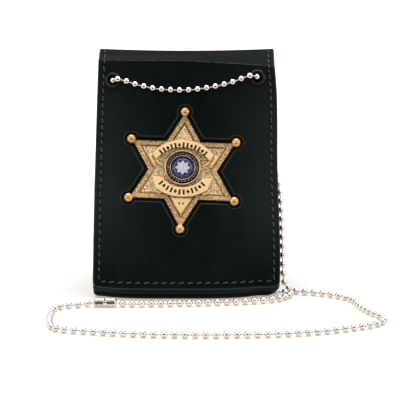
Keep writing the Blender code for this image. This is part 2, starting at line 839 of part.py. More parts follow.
def right_route():
    """The chain from the right eyelet, down beside the front leaf's right edge, and round the
    loop on the floor to the connector."""
    hidden = [
        leaf_point(*point)
        for point in (
            (0.0346, 0.0085, 0.0016),
            (0.0346, 0.0086, 0.0064),
            (0.0348, 0.0094, 0.0092),
            (0.0351, 0.0124, 0.0104),
            (0.0360, 0.0196, 0.0102),
            (0.0389, 0.0336, 0.0098),
            (0.0425, 0.0495, 0.0096),
            (0.0453, 0.0630, 0.0098),
            (0.0461, 0.0770, 0.0104),
            (0.0464, 0.0900, 0.0118),
        )
    ]
    return (
        hidden
        + [Vector((0.0467, -0.0185, 0.0095)), Vector((0.0480, -0.0218, 0.0031))]
        + floor_route(
            (
                (0.0528, -0.0260),
                (0.0613, -0.0293),
                (0.0690, -0.0337),
                (0.0750, -0.0402),
                (0.0782, -0.0484),
                (0.0798, -0.0600),
                (0.0830, -0.0710),
                (0.0869, -0.0794),
                (0.0877, -0.0854),
                (0.0854, -0.0908),
                (0.0802, -0.0960),
                (0.0644, -0.1049),
                (0.0474, -0.1104),
                (0.0310, -0.1129),
                (0.0100, -0.1140),
                (-0.0090, -0.1131),
                (-0.0253, -0.1109),
                (-0.0400, -0.1074),
                (-0.0510, -0.1043),
                (-0.0564, -0.1006),
                (-0.0588, -0.0934),
                (-0.0598, -0.0790),
                (-0.0597, -0.0670),
                (-0.0582, -0.0610),
                (-0.0542, -0.0573),
                (-0.0480, -0.0552),
            )
        )
        + connector_end(CONNECTOR_PLACE, -1)
    )


def connector_end(place, side):
    """The last points of a strand, inside its half of the connector."""
    height = CONNECTOR_RADIUS + CONNECTOR_SEAT
    mouth = place[0] + side * CONNECTOR_HALF_LENGTH
    end = place[0] + side * CHAIN_JOIN_GAP / 2
    return [Vector((mouth, place[1], height)), Vector((end, place[1], height))]


def smooth_route(route):
    """Many points along a smooth curve through the route's points, none below the floor's."""
    padded = [2 * route[0] - route[1]] + list(route) + [2 * route[-1] - route[-2]]
    points = []
    for before, here, there, after in zip(padded, padded[1:], padded[2:], padded[3:]):
        for i in range(ROUTE_STEPS):
            t = i / ROUTE_STEPS
            bend = (2 * before - 5 * here + 4 * there - after) * t * t
            twist = (3 * here - before - 3 * there + after) * t**3
            point = (2 * here + (there - before) * t + bend + twist) / 2
            point.z = max(point.z, BEAD_RADIUS)
            points.append(point)
    return points + [route[-1]]


def along_route(points, distances):
    """Points at the given distances along a smooth route."""
    found = []
    i = 0
    passed = 0.0
    step = (points[1] - points[0]).length
    for distance in distances:
        while passed + step < distance and i < len(points) - 2:
            passed += step
            i += 1
            step = (points[i + 1] - points[i]).length
        share = min(max((distance - passed) / step, 0), 1)
        found.append(points[i].lerp(points[i + 1], share))
    return found


def route_length(points):
    """Length of a line of points."""
    return sum((b - a).length for a, b in zip(points, points[1:]))


def bead_chain(name, route, surface):
    """One unbroken stretch of ball chain: beads at an even pitch, joined by thin necks."""
    points = smooth_route(route)
    length = route_length(points)
    count = round(length / BEAD_PITCH)
    pitch = length / count
    shape = (
        (-NECK_START, NECK_SHARE),
        (-BEAD_SHOULDER, BEAD_SHOULDER_SHARE),
        (BEAD_SHOULDER, BEAD_SHOULDER_SHARE),
        (NECK_START, NECK_SHARE),
    )
    distances = [0.0]
    shares = [NECK_SHARE]
    for bead in range(count):
        middle = (bead + 0.5) * pitch
        for offset, share in shape:
            distances.append(middle + offset)
            shares.append(share)
    distances.append(length)
    shares.append(NECK_SHARE)
    curve = bpy.data.curves.new(name, "CURVE")
    curve.dimensions = "3D"
    curve.bevel_depth = BEAD_RADIUS
    curve.bevel_resolution = 1
    curve.use_fill_caps = True
    spline = curve.splines.new("POLY")
    spline.points.add(len(distances) - 1)
    for point, place, share in zip(spline.points, along_route(points, distances), shares):
        point.co = (*place, 1.0)
        point.radius = share
    print(name, "length", round(length, 4), "beads", count)
    return place_object(name, curve, None, surface)


def build_connector(steel):
    """The slotted tube over the chain's two end beads, open along its front."""
    x, y = CONNECTOR_PLACE
    z = CONNECTOR_RADIUS + CONNECTOR_SEAT
    middle = -math.pi
    half = CONNECTOR_SLOT_HALF_ANGLE
    hub = (0, 0)
    outer = arc(hub, CONNECTOR_RADIUS, middle + half, middle + 2 * math.pi - half, ROUND_SEGMENTS)
    inner_radius = CONNECTOR_RADIUS - CONNECTOR_WALL
    inner = arc(hub, inner_radius, middle + 2 * math.pi - half, middle + half, ROUND_SEGMENTS)
    section = outer + inner
    rings = [
        [(x + side * CONNECTOR_HALF_LENGTH, y + a, z + b) for a, b in section] for side in (-1, 1)
    ]
    return solid("chain_connector", [rings], None, steel)


def build():
    """Clears the scene and makes every piece."""
    for old in list(bpy.data.objects):
        bpy.data.objects.remove(old, do_unlink=True)
    leather = material("black_leather", (0.012, 0.016, 0.015), 0.42)
    spine_leather = material("spine_leather", (0.022, 0.026, 0.026), 0.45)
    black_metal = material("black_metal", (0.02, 0.02, 0.02), 0.35, 0.6)
    gold = material("gold", (0.72, 0.50, 0.24), 0.35, 1.0)
    polished = material("polished_gold", (0.92, 0.70, 0.42), 0.18, 1.0)
    navy = material("navy_enamel", (0.01, 0.012, 0.09), 0.15)
    blue = material("blue_enamel", (0.015, 0.05, 0.24), 0.15)
    white = material("white_enamel", (0.85, 0.85, 0.87), 0.2)
    nickel = material("nickel", (0.80, 0.78, 0.75), 0.16, 1.0)
    steel = material("pin_steel", (0.62, 0.55, 0.42), 0.3, 1.0)
    clear = material("clear_vinyl", (0.85, 0.88, 0.9), 0.1, 0.0, 0.35)

    fold = Vector((0, fold_back(), fold_height()))
    along_spine = Vector((0, math.sin(spine_lean()), math.cos(spine_lean())))
    front = frame("front_fold", fold, -FRONT_LEAN)
    spine = frame("spine_frame", fold, -spine_lean())
    rear = frame("rear_fold", fold + along_spine * SPINE_WIDTH, REAR_LEAN - math.pi)

    build_front_leaf(front, leather)
    build_eyelets(front, black_metal)
    build_star(front, gold)
    build_applied_panels(front, polished)
    build_seal(front, gold, navy, blue, white)
    build_pin(front, steel)
    build_spine(spine, spine_leather)
    build_rear_leaf(rear, leather, clear)
    bead_chain("chain_swag", swag_route(), nickel)
    bead_chain("chain_left_strand", left_route(), nickel)
    bead_chain("chain_right_strand", right_route(), nickel)
    build_connector(nickel)


build()
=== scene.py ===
"""The badge holder with its neck chain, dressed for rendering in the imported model's own frame.

Metres, +Z up, +X to the right as the camera sees it, +Y to the back. Each leaf is drawn flat, X
across it, Y from its outer face inwards and Z along it, and is then laid along its fold line.
"""

import json
from math import acos, asin, cos, pi, radians, sin, sqrt, tan

import bmesh
import bpy
from mathutils import Matrix, Vector, noise
from mathutils.geometry import tessellate_polygon


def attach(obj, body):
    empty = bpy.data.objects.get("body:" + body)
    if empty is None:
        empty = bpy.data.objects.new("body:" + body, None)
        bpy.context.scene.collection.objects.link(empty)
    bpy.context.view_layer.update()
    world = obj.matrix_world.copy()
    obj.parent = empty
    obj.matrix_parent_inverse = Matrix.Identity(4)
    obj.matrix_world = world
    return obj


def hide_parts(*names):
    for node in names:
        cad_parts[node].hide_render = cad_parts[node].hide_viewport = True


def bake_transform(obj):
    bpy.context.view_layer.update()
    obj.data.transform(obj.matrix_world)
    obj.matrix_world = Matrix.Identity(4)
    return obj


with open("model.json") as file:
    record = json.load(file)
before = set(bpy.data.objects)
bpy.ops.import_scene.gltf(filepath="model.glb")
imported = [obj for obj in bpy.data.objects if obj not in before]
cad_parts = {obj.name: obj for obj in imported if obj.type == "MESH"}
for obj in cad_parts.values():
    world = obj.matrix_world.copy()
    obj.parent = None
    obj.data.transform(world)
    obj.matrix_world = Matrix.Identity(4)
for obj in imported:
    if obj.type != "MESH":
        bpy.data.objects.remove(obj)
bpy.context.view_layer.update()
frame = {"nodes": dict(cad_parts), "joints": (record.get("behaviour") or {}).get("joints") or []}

MM = 0.001
joints = {joint["name"]: joint for joint in frame["joints"]}

# Frames of the leaves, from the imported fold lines
FRONT_FOLD = Vector(joints["front_fold"]["pos_m"])
REAR_FOLD = Vector(joints["rear_fold"]["pos_m"])
FRONT_LEAN = radians(22.5)
REAR_LEAN = radians(7.2)
SPINE_WIDTH = (REAR_FOLD - FRONT_FOLD).length
SPINE_LEAN = acos((REAR_FOLD - FRONT_FOLD).z / SPINE_WIDTH)
FRONT = Matrix.Translation(FRONT_FOLD) @ Matrix.Rotation(-FRONT_LEAN, 4, "X")
SPINE = Matrix.Translation(FRONT_FOLD) @ Matrix.Rotation(-SPINE_LEAN, 4, "X")
REAR = Matrix.Translation(REAR_FOLD) @ Matrix.Rotation(REAR_LEAN - pi, 4, "X")

# Rear leaf and spine as seen from the rear fold, with Z running up the leaf and on over the spine
UPWARDS = Matrix.Diagonal((1, 1, -1, 1))
REAR_UP = REAR @ UPWARDS
SPINE_ON = Matrix.Translation(REAR_FOLD) @ SPINE.to_3x3().to_4x4() @ UPWARDS

# Bodies and places between which leather bends over each fold
FRONT_REACH = 2.2 * MM
REAR_REACH = 3.5 * MM
FRONT_BEND = (
    "front_leaf", "spine",
    FRONT @ Vector((0, 0, -FRONT_REACH)), SPINE @ Vector((0, 0, FRONT_REACH)),
)
REAR_BEND = (
    "spine", "rear_leaf",
    SPINE @ Vector((0, 0, SPINE_WIDTH - REAR_REACH)), REAR @ Vector((0, 0, REAR_REACH)),
)

# Leather
LEAF_LENGTH = 115.7 * MM
COVER_LENGTH = 112.9 * MM
BACKING_LENGTH = 114.3 * MM
HALF_WIDTH = 43.3 * MM
FRONT_FLARE = 0.9 * MM
FLARE_LENGTH = 95 * MM
SPINE_FLARE = 0.1 * MM
REAR_FLARE = 0.3 * MM
REAR_FLARE_LENGTH = 8 * MM
REAR_HALF_WIDTH = HALF_WIDTH + REAR_FLARE
CORNER = 3.2 * MM
REAR_CORNER = 4.2 * MM
THICKNESS = 2.2 * MM
BACKING_TOP = 2.5 * MM
LINING_TOP = 5.0 * MM
LINING_BACK = 7.2 * MM
SETBACK = 2.0 * MM
FOLD_ROUND = 2.0 * MM
REAR_FOLD_ROUND = 1.5 * MM
FOLD_END_ROUND = 1.0 * MM
FOLD_END_REACH = 3 * MM
SEAM = 9.0 * MM
EDGE_ROUND = 0.55 * MM
SPINE_DIP = 1.0 * MM
FOLD_LIFT = 0.65 * MM
DIP_REACH = 14 * MM
CREASE_SLOPE = 0.062
CREASE_LEVEL = 3 * MM
CREASE_TILT = 0.008
CREASE_RISE = 0.6 * MM
CREASE_REACH = 7.5 * MM
UNEVEN = 0.07 * MM
UNEVEN_SIZE = 17 * MM
OTHER_UNEVEN = Vector((0, 0, 0.3))
WAVE = 0.6 * MM
WAVE_START = 20 * MM
WAVE_LENGTH = 75 * MM
WAVE_GROWTH = 14 * MM
BOW = 4.6 * MM
BOW_START = 80 * MM
BOW_MIDDLE = -4 * MM
BOW_HALF_WIDTH = 34 * MM
BOW_BACK_LEFT = 0.40
BOW_BACK_RIGHT = 0.55
LINING_CORNER = 6 * MM
LEFT_CORNER = 2.0 * MM

# Pocket of the rear leaf
POCKET_TOP = THICKNESS + 0.3 * MM
POCKET_BACK = POCKET_TOP + 1.6 * MM
POCKET_START = 5.5 * MM
POCKET_ROUND = 0.4 * MM
WINDOW_START = 18 * MM
WINDOW_END = LEAF_LENGTH - 12 * MM
WINDOW_HALF_WIDTH = REAR_HALF_WIDTH - 9.6 * MM
WINDOW_CORNER = 3 * MM

# Steps in which outlines and leathers are cut, so that they can bend
OUTLINE_STEP = 8 * MM
FOLD_STEP = 0.4 * MM
FOOT_STEP = 6 * MM
COLUMNS_END = 42 * MM
COLUMN_STEP = 3 * MM

# Stitching
FOOT_PITCH = 4.2 * MM
SIDE_PITCH = 3.65 * MM
STITCH_LENGTH = 2.7 * MM
STITCH_RADIUS = 0.29 * MM
STITCH_IN = 3.0 * MM
STITCH_UP = 3.0 * MM
STITCH_SLANT = radians(13)
SEAM_GAP = 0.4 * MM

# Badge
BADGE_ACROSS = -1.8 * MM
BADGE_BELOW = 55.1 * MM
BADGE_TURN = radians(-2.2)
TIP = 29.3 * MM
BALL = 2.4 * MM
BALL_DEPTH = 1.0 * MM
RECESS_MARGIN = 1.4 * MM
NOTCH = 3.3 * MM
BORDER = 0.099 * TIP
STAR_ANGLES = [pi / 2 + i * pi / 3 for i in range(6)]
BANNER_SEAT = 0.45 * MM
BANNER_HEIGHT = 0.85 * MM
SEAL_UP = 0.036 * TIP

# Arcs of the banners: share of the tip radius to their centre, radius share and reach
UPPER_OUTER = (-0.131, 0.645, radians(53))
UPPER_INNER = (-0.170, 0.546, radians(54))
LOWER_OUTER = (0.293, 0.760, radians(34.5))
LOWER_INNER = (0.145, 0.440, radians(51))
LOWER_END = (0.500, 0.112)
UPPER_MARKS = (-0.150, 0.527, 0.612, radians(40))
LOWER_MARKS = (0.097, 0.435, 0.520, radians(46))

# Eyelets
EYELETS = {"left": (-36.0 * MM, 10.0 * MM), "right": (34.7 * MM, 8.5 * MM)}
EYELET_HOLE = 3.1 * MM

# Chain
BEAD = 1.6 * MM
PITCH = 4.4 * MM
BEAD_MOUTH = 0.09 * pi
NECK = 0.27 * MM
NECK_START = 0.05 * MM
END_BALL = 3.6 * MM
CONNECTOR = (-37.1 * MM, -53.9 * MM)
CONNECTOR_HALF = 5.3 * MM
CONNECTOR_RADIUS = 2.1 * MM
LIFTED = CONNECTOR_RADIUS + 0.1 * MM
CLIP_GAP = 0.3 * MM
CONNECTOR_WALL = 0.3 * MM
CONNECTOR_END = 0.95 * MM
SLOT_DEPTH = 0.35 * MM

# Studio
ROOM = 0.40
MIRRORED_ROOM = 0.80
FLOOR_FRONT = 0.225
FLOOR_BACK = 0.40
FLOOR_HALF_WIDTH = 0.8
BACKDROP_FOOT = 1.2
BACKDROP_ROUND = 0.3
FLOOR_COLOUR = (0.68, 0.71, 0.75)
FLOOR_GLOW = (0.38, 0.31, 0.24)
FLAG_BACK = 0.95
FLAG_HEIGHT = 0.16
FLAG_RADIUS = 0.55
LAMPS = (
    ("overhead", (0.0, 0.30, 1.05), (0, 0, 0.05), (1.2, 0.5), 12.0),
    ("front_top", (0.0, -0.90, 0.76), (0, 0, 0.05), (1.0, 0.26), 1.7),
    ("left_side", (-0.95, -0.25, 0.45), (0, 0, 0.05), (0.6, 0.6), 2.0),
    ("right_side", (0.95, -0.20, 0.50), (0, 0, 0.05), (0.6, 0.6), 2.0),
)
SENSOR = 36
PHOTO_PIXELS = 400
FOCAL_PIXELS = 1476
CAMERA_PLACE = (6.6 * MM, -718.7 * MM, 149.3 * MM)
CAMERA_TILT = radians(90 - 8.5)

VINYL_ALPHA = 0.16

NOISE = "TexNoise"
CELLS = "TexVoronoi"


def add_node(tree, kind, **settings):
    """Adds a shader node with some of its settings."""
    made = tree.nodes.new("ShaderNode" + kind)
    for name, value in settings.items():
        setattr(made, name, value)
    return made


def link(tree, source, output, target, socket):
    """Joins two nodes."""
    tree.links.new(source.outputs[output], target.inputs[socket])


def principled(name, values):
    """A new material, its tree and its shader, with values on the shader's named sockets."""
    made = bpy.data.materials.new(name)
    made.use_nodes = True
    shader = made.node_tree.nodes["Principled BSDF"]
    for socket, value in values.items():
        shader.inputs[socket].default_value = value
    return made, made.node_tree, shader


def ramp(tree, source, output, stops):
    """A colour ramp over a value; stops are (position, colour)."""
    made = add_node(tree, "ValToRGB")
    while len(made.color_ramp.elements) < len(stops):
        made.color_ramp.elements.new(0.5)
    for element, (position, colour) in zip(made.color_ramp.elements, stops):
        element.position = position
        element.color = (*colour, 1.0)
    link(tree, source, output, made, "Fac")
    return made


def grey_ramp(tree, source, output, stops):
    """A ramp of one number over a value; stops are (position, number)."""
    return ramp(tree, source, output, [(position, [number] * 3) for position, number in stops])


def pattern(tree, kind, size, stretch=(1, 1, 1), detail=3.0):
    """Noise or cells of a size in millimetres in the object's own coordinates."""
    scale = add_node(tree, "Mapping")
    scale.inputs["Scale"].default_value = [1 / (size * MM) * share for share in stretch]
    link(tree, add_node(tree, "TexCoord"), "Object", scale, "Vector")
    made = add_node(tree, kind)
    made.inputs["Scale"].default_value = 1.0
    if kind == NOISE:
        made.inputs["Detail"].default_value = detail
    link(tree, scale, "Vector", made, "Vector")
    return made


def surface(name, dark, light, mottle, roughness, bump=None, kind=NOISE, metallic=0.0, specular=0.5):
    """A Principled material with mottled colour and roughness, and fine relief.

    mottle is a size in millimetres, roughness is its lowest and highest value, and bump is the
    relief's size and height in millimetres.
    """
    made, tree, shader = principled(name, {"Metallic": metallic, "Specular IOR Level": specular})
    clouds = pattern(tree, NOISE, mottle)
    colour = ramp(tree, clouds, "Fac", ((0.3, dark), (0.7, light)))
    link(tree, colour, "Color", shader, "Base Color")
    rough = grey_ramp(tree, clouds, "Fac", ((0.3, roughness[0]), (0.7, roughness[1])))
    link(tree, rough, "Color", shader, "Roughness")
    if bump:
        relief = add_node(tree, "Bump")
        relief.inputs["Distance"].default_value = bump[1] * MM
        fine = pattern(tree, kind, bump[0])
        link(tree, fine, "Distance" if kind == CELLS else "Fac", relief, "Height")
        link(tree, relief, "Normal", shader, "Normal")
    return made


def mix_over(made, colour, source, output):
    """Lays a colour over a material's own, as far as a node's value says."""
    tree = made.node_tree
    shader = tree.nodes["Principled BSDF"]
    base = shader.inputs["Base Color"].links[0].from_socket
    mix = add_node(tree, "Mix", data_type="RGBA")
    mix.inputs["B"].default_value = (*colour, 1.0)
    link(tree, source, output, mix, "Factor")
    tree.links.new(base, mix.inputs["A"])
    tree.links.new(mix.outputs["Result"], shader.inputs["Base Color"])


def add_scratches(made, colour, amount):
    """Faint fine scratches, mostly upright, laid over a material's colour."""
    tree = made.node_tree
    streaks = pattern(tree, NOISE, 3, (1.6, 1.0, 0.12), 6.0)
    marks = grey_ramp(tree, streaks, "Fac", ((0.66, 0), (0.80, amount)))
    mix_over(made, colour, marks, "Color")


def add_painted_sheen(made, colour):
    """Paints a sheen into a material's colour: paler towards the leather's sides, and least at its
    fold and foot.
    """
    tree = made.node_tree
    parts = add_node(tree, "SeparateXYZ")
    link(tree, add_node(tree, "TexCoord"), "Object", parts, "Vector")
    both = add_node(tree, "Math", operation="MULTIPLY")
    for socket, (output, reach, stops) in enumerate((
        ("X", HALF_WIDTH, ((0.20, 0), (0.55, 0.38), (0.90, 1))),
        ("Z", LEAF_LENGTH, ((0.08, 0), (0.36, 0.72), (0.76, 0.48), (0.93, 0.15))),
    )):
        share = add_node(tree, "Math", operation="DIVIDE")
        share.inputs[1].default_value = reach
        link(tree, parts, output, share, 0)
        size = add_node(tree, "Math", operation="ABSOLUTE")
        link(tree, share, "Value", size, 0)
        amount = grey_ramp(tree, size, "Value", stops)
        link(tree, amount, "Color", both, socket)
    mix_over(made, colour, both, "Value")


leather = surface(
    "leather", (0.0042, 0.0076, 0.0064), (0.0068, 0.0108, 0.0094), 9, (0.32, 0.42),
    (0.22, 0.05), specular=0.008,
)
# The leather carries a painted sheen, paler towards its sides.
add_painted_sheen(leather, (0.026, 0.033, 0.031))
add_scratches(leather, (0.030, 0.034, 0.032), 0.35)
# Paler leather along the front fold's crease: partly wear, partly a painted highlight of the crease.
crease_wear_and_highlight = surface(
    "crease_wear_and_highlight", (0.012, 0.015, 0.014), (0.080, 0.090, 0.085), 2.5, (0.35, 0.5),
    (0.3, 0.05), specular=0.1,
)
inside_leather = surface(
    "inside_leather", (0.007, 0.010, 0.009), (0.015, 0.018, 0.017), 6, (0.5, 0.65),
    (0.3, 0.08), specular=0.08,
)
# Cut edges, paler than the faces; the paleness is partly a painted reflection of the floor on their
# rounded rims.
edge_leather = surface(
    "edge_leather", (0.014, 0.023, 0.022), (0.034, 0.048, 0.046), 2, (0.28, 0.45),
    (0.35, 0.06), specular=0.15,
)
thread = surface(
    "thread", (0.012, 0.015, 0.014), (0.080, 0.087, 0.083), 0.8, (0.55, 0.75), (0.12, 0.08),
)
# Near-black discs at the stitches' ends: painted shade for their holes.
painted_hole_shade = surface("painted_hole_shade", (0.001,) * 3, (0.003,) * 3, 1, (0.8, 0.9), specular=0.05)
black_metal = surface(
    "black_metal", (0.003, 0.004, 0.004), (0.008, 0.009, 0.009), 1.5, (0.14, 0.22),
    (0.5, 0.01), specular=0.22,
)
gold = surface(
    "gold", (0.30, 0.155, 0.05), (0.93, 0.77, 0.48), 0.8, (0.26, 0.42),
    (0.62, 0.60), CELLS, metallic=1.0,
)
gold_border = surface(
    "gold_border", (0.24, 0.125, 0.040), (0.70, 0.52, 0.29), 0.9, (0.28, 0.44),
    (0.55, 0.50), CELLS, metallic=1.0,
)
# Copper-toned painted shade for the star's side wall, outer chamfer and the groove inside its border.
copper_painted_shade = surface("copper_painted_shade", (0.16, 0.045, 0.012), (0.50, 0.20, 0.06), 0.8, (0.30, 0.40), metallic=1.0)
ball_gold = surface(
    "ball_gold", (0.58, 0.31, 0.12), (0.80, 0.49, 0.21), 2, (0.36, 0.42), (0.8, 0.005), metallic=1.0,
)
gold_smooth = surface(
    "gold_smooth", (0.62, 0.35, 0.14), (0.74, 0.45, 0.20), 2, (0.22, 0.30), (0.8, 0.01), metallic=1.0,
)
polished = surface(
    "polished", (0.94, 0.62, 0.29), (0.99, 0.70, 0.36), 3, (0.30, 0.40), (0.5, 0.008), metallic=0.35,
)
black_enamel = surface("black_enamel", (0.002,) * 3, (0.005,) * 3, 1, (0.2, 0.3), specular=0.2)
navy = surface("navy", (0.002, 0.003, 0.040), (0.004, 0.006, 0.070), 2, (0.12, 0.2), specular=0.3)
blue = surface("blue", (0.003, 0.018, 0.110), (0.006, 0.035, 0.190), 2, (0.12, 0.2), specular=0.3)
white = surface("white", (0.52, 0.53, 0.66), (0.86, 0.86, 0.92), 1, (0.15, 0.25), specular=0.4)
nickel = surface(
    "nickel", (0.60, 0.54, 0.49), (0.82, 0.77, 0.72), 1.2, (0.06, 0.11), (0.9, 0.004), metallic=1.0,
)
neck_nickel = surface(
    "neck_nickel", (0.62, 0.57, 0.52), (0.78, 0.73, 0.68), 1.2, (0.40, 0.50),
    (0.9, 0.01), metallic=1.0,
)
# Grey for the connector's sunk slot, notch and seam faces: painted shade for their openings.
painted_slot_shade = surface(
    "painted_slot_shade", (0.10, 0.092, 0.085), (0.18, 0.166, 0.154), 1, (0.5, 0.6), specular=0.2,
)
pin_steel = surface(
    "pin_steel", (0.50, 0.44, 0.33), (0.68, 0.60, 0.46), 1, (0.25, 0.4), (0.4, 0.02), metallic=1.0,
)
vinyl = surface("vinyl", (0.80, 0.84, 0.86), (0.90, 0.93, 0.95), 12, (0.08, 0.16), (14, 0.25))
vinyl.node_tree.nodes["Principled BSDF"].inputs["Alpha"].default_value = VINYL_ALPHA


def add_object(name, data):
    """Puts an object into the scene."""
    made = bpy.data.objects.new(name, data)
    bpy.context.scene.collection.objects.link(made)
    return made


def piece(name, mesh, surfaces, replaced=(), body="front_leaf", flat=True):
    """Makes an object of a bmesh, which replaces CAD nodes and rides on a body; given the bodies on
    each side of a fold, it stays where it was drawn.

    Flat faces beside rounded edges need normals that go by the faces' areas.
    """
    data = bpy.data.meshes.new(name)
    bmesh.ops.recalc_face_normals(mesh, faces=mesh.faces)
    mesh.to_mesh(data)
    mesh.free()
    made = add_object(name, data)
    for each in surfaces:
        data.materials.append(each)
    data.shade_smooth()
    if flat:
        made.modifiers.new("weighted_normals", "WEIGHTED_NORMAL")
    if isinstance(body, str):
        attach(made, body)
    else:
        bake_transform(made)
    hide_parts(*replaced)
    return made


def inset(loop, distance):
    """The loop moved inwards by a distance, corner by corner; the loop runs anticlockwise."""
    moved = []
    for i, point in enumerate(loop):
        here = Vector(point)
        before = (here - Vector(loop[i - 1])).normalized()
        after = (Vector(loop[(i + 1) % len(loop)]) - here).normalized()
        normal = Vector((-(before.y + after.y), before.x + after.x))
        moved.append(tuple(here + normal * distance / (1 + before.dot(after))))
    return moved


def polar(radius, angle, centre=(0, 0)):
    """A point at a distance and an angle from a centre."""
    return centre[0] + radius * cos(angle), centre[1] + radius * sin(angle)


def arc(centre, radius, start, end, steps):
    """Points on an arc, both ends included."""
    return [polar(radius, start + (end - start) * i / steps, centre) for i in range(steps + 1)]


def circle(centre, radius, segments=48):
    """A closed loop of points round a circle."""
    return arc(centre, radius, 0, 2 * pi, segments)[:-1]


def rounded_edges(top, bottom, radius, back_radius=0.0, steps=5):
    """Profile of a sheet's rim from back to front, as (inset, depth)."""
    angles = [pi / 2 * i / steps for i in range(steps + 1)]
    back = [(0, bottom)]
    if back_radius:
        back = [(back_radius * (1 - sin(a)), bottom - back_radius * (1 - cos(a))) for a in angles[:-1]]
    return back + [(radius * (1 - cos(a)), top + radius * (1 - sin(a))) for a in angles]


def leather_rim(top):
    """Rim of a cut leather whose outer face lies at a depth."""
    return rounded_edges(top, top + THICKNESS, EDGE_ROUND, EDGE_ROUND / 2)


def ring_at(mesh, loop, depth):
    """Corners on the front leaf along a flat loop, at a depth."""
    return [mesh.verts.new(FRONT @ Vector((x, depth, z))) for x, z in loop]


def bridge(mesh, rings, slots=None):
    """Faces from each ring of corners to the next; slots gives the material of each step."""
    for step, (low, high) in enumerate(zip(rings, rings[1:])):
        for i, corner in enumerate(low):
            j = (i + 1) % len(low)
            face = mesh.faces.new((corner, low[j], high[j], high[i]))
            if slots:
                face.material_index = slots[step]


def layered(outline, holes, profile, hold=None, slots=None):
    """A sheet drawn flat: rings round its outline and holes along a profile, and two caps.

    Points of the outline beyond hold keep their place along the leaf. slots gives the material of
    each step of the profile; the caps have the first.
    """
    mesh = bmesh.new()
    fronts, backs = [], []
    for number, loop in enumerate([outline] + list(holes)):
        sign = -1 if number else 1
        rings = []
        for distance, depth in profile:
            flat = inset(loop, sign * distance)
            if hold is not None and not number:
                flat = [(x, hold if z > hold - 2 * EDGE_ROUND else z) for x, z in flat]
            rings.append([mesh.verts.new((x, depth, z)) for x, z in flat])
        bridge(mesh, rings, slots or [1] * len(profile))
        backs.append(rings[0])
        fronts.append(rings[-1])
    for loops in (fronts, backs):
        corners = [corner for loop in loops for corner in loop]
        flat = [[corner.co / EDGE_ROUND for corner in loop] for loop in loops]
        for triangle in tessellate_polygon(flat):
            mesh.faces.new([corners[i] for i in triangle])
    return mesh


def cut_rows(mesh, places, axis):
    """Cuts the mesh along planes across an axis, so that it can bend and ripple there."""
    normal = Vector((axis == 0, 0, axis == 2))
    for place in places:
        geometry = mesh.verts[:] + mesh.edges[:] + mesh.faces[:]
        bmesh.ops.bisect_plane(mesh, geom=geometry, plane_co=normal * place, plane_no=normal)


def spread(low, high, step):
    """Evenly spaced places from low to high."""
    count = max(1, round((high - low) / step))
    return [low + (high - low) * i / count for i in range(count + 1)]


def fold_point(point, fold, lower, upper, radius):
    """Lays a flat point over a rounded fold.

    Below zero along Z it lies on the lower matrix's leaf, and above zero on the upper one's.
    """
    x, depth, z = point
    here = fold + Vector((x, 0, 0))
    down, up = lower.col[2].xyz, upper.col[2].xyz
    in_low, in_high = lower.col[1].xyz, upper.col[1].xyz
    bend = down.angle(up)
    tangent = radius * tan(bend / 2)
    depth = min(depth, 0.9 * radius + max(0, abs(z) - tangent))
    if z <= -tangent:
        return here + down * z + in_low * depth
    if z >= tangent:
        return here + up * z + in_high * depth
    middle = (in_low + in_high).normalized()
    centre = here + middle * radius / cos(bend / 2)
    share = (z / tangent + 1) / 2
    turn = Matrix.Rotation(-bend * share, 3, "X")
    return centre - (turn @ in_low) * (radius - depth)


def dip(place):
    """The soft sag of the top fold in its middle, which fades out away from the fold."""
    near = max(0, 1 - (place - REAR_FOLD).yz.length / DIP_REACH)
    across = max(0, 1 - (place.x / HALF_WIDTH) ** 2)
    return place + Vector((0, 0, (FOLD_LIFT - SPINE_DIP * across) * near * near * (3 - 2 * near)))


def bowed(place, x, z):
    """The front leaf's foot bows a little to the front in its middle."""
    low = min(max((-z - BOW_START) / (LEAF_LENGTH - BOW_START), 0), 1)
    least = -BOW_BACK_LEFT if x < 0 else -BOW_BACK_RIGHT
    across = max(1 - ((x - BOW_MIDDLE) / BOW_HALF_WIDTH) ** 4, least)
    return place - Vector((0, BOW * across * low * low, 0))


def on_front(point):
    """Lays a flat point on the front leaf."""
    return bowed(FRONT @ point, point.x, point.z)


def on_rear(point):
    """Lays a flat point on the rear leaf."""
    return REAR @ point


def crease(place, x, z):
    """Lets the front fold's crease run lower towards the right, as a worn one does."""
    near = max(0, 1 - (z / CREASE_REACH) ** 2)
    shift = CREASE_SLOPE * max(0, x - CREASE_LEVEL) + CREASE_TILT * x - CREASE_RISE
    return place - FRONT.col[2].xyz * shift * near * near


def over_front_fold(point):
    """Lays a flat point of the front cover over the front fold."""
    x, _, z = point
    place = fold_point(point, FRONT_FOLD, FRONT, SPINE, FOLD_ROUND)
    return dip(crease(bowed(place, x, z), x, z))


def over_rear_fold(point):
    """Lays a flat point of the rear cover over the rear fold; Z runs up the rear leaf."""
    return dip(fold_point(point, REAR_FOLD, REAR_UP, SPINE_ON, REAR_FOLD_ROUND))


def laid(mesh, lay, shift=Vector()):
    """Lays a flat leather on its leaf, with the slight unevenness of hand-cut leather."""
    for corner in mesh.verts:
        corner.co.y += UNEVEN * noise.noise((corner.co + shift) / UNEVEN_SIZE)
        corner.co = lay(corner.co)
    return mesh


def leaf_half_width(below):
    """Half width of the front leaf at a distance below the fold."""
    share = min(max(below, 0) / FLARE_LENGTH, 1)
    return HALF_WIDTH + FRONT_FLARE * (1 - (1 - share) ** 2)


def right_half_width(below):
    """The leaf's right side, which is cut less straight than its left."""
    wave = 0.5 + 0.5 * cos(2 * pi * (below - WAVE_START) / WAVE_LENGTH)
    grown = min(max(below / WAVE_GROWTH, 0), 1)
    return leaf_half_width(below) + WAVE * wave * grown


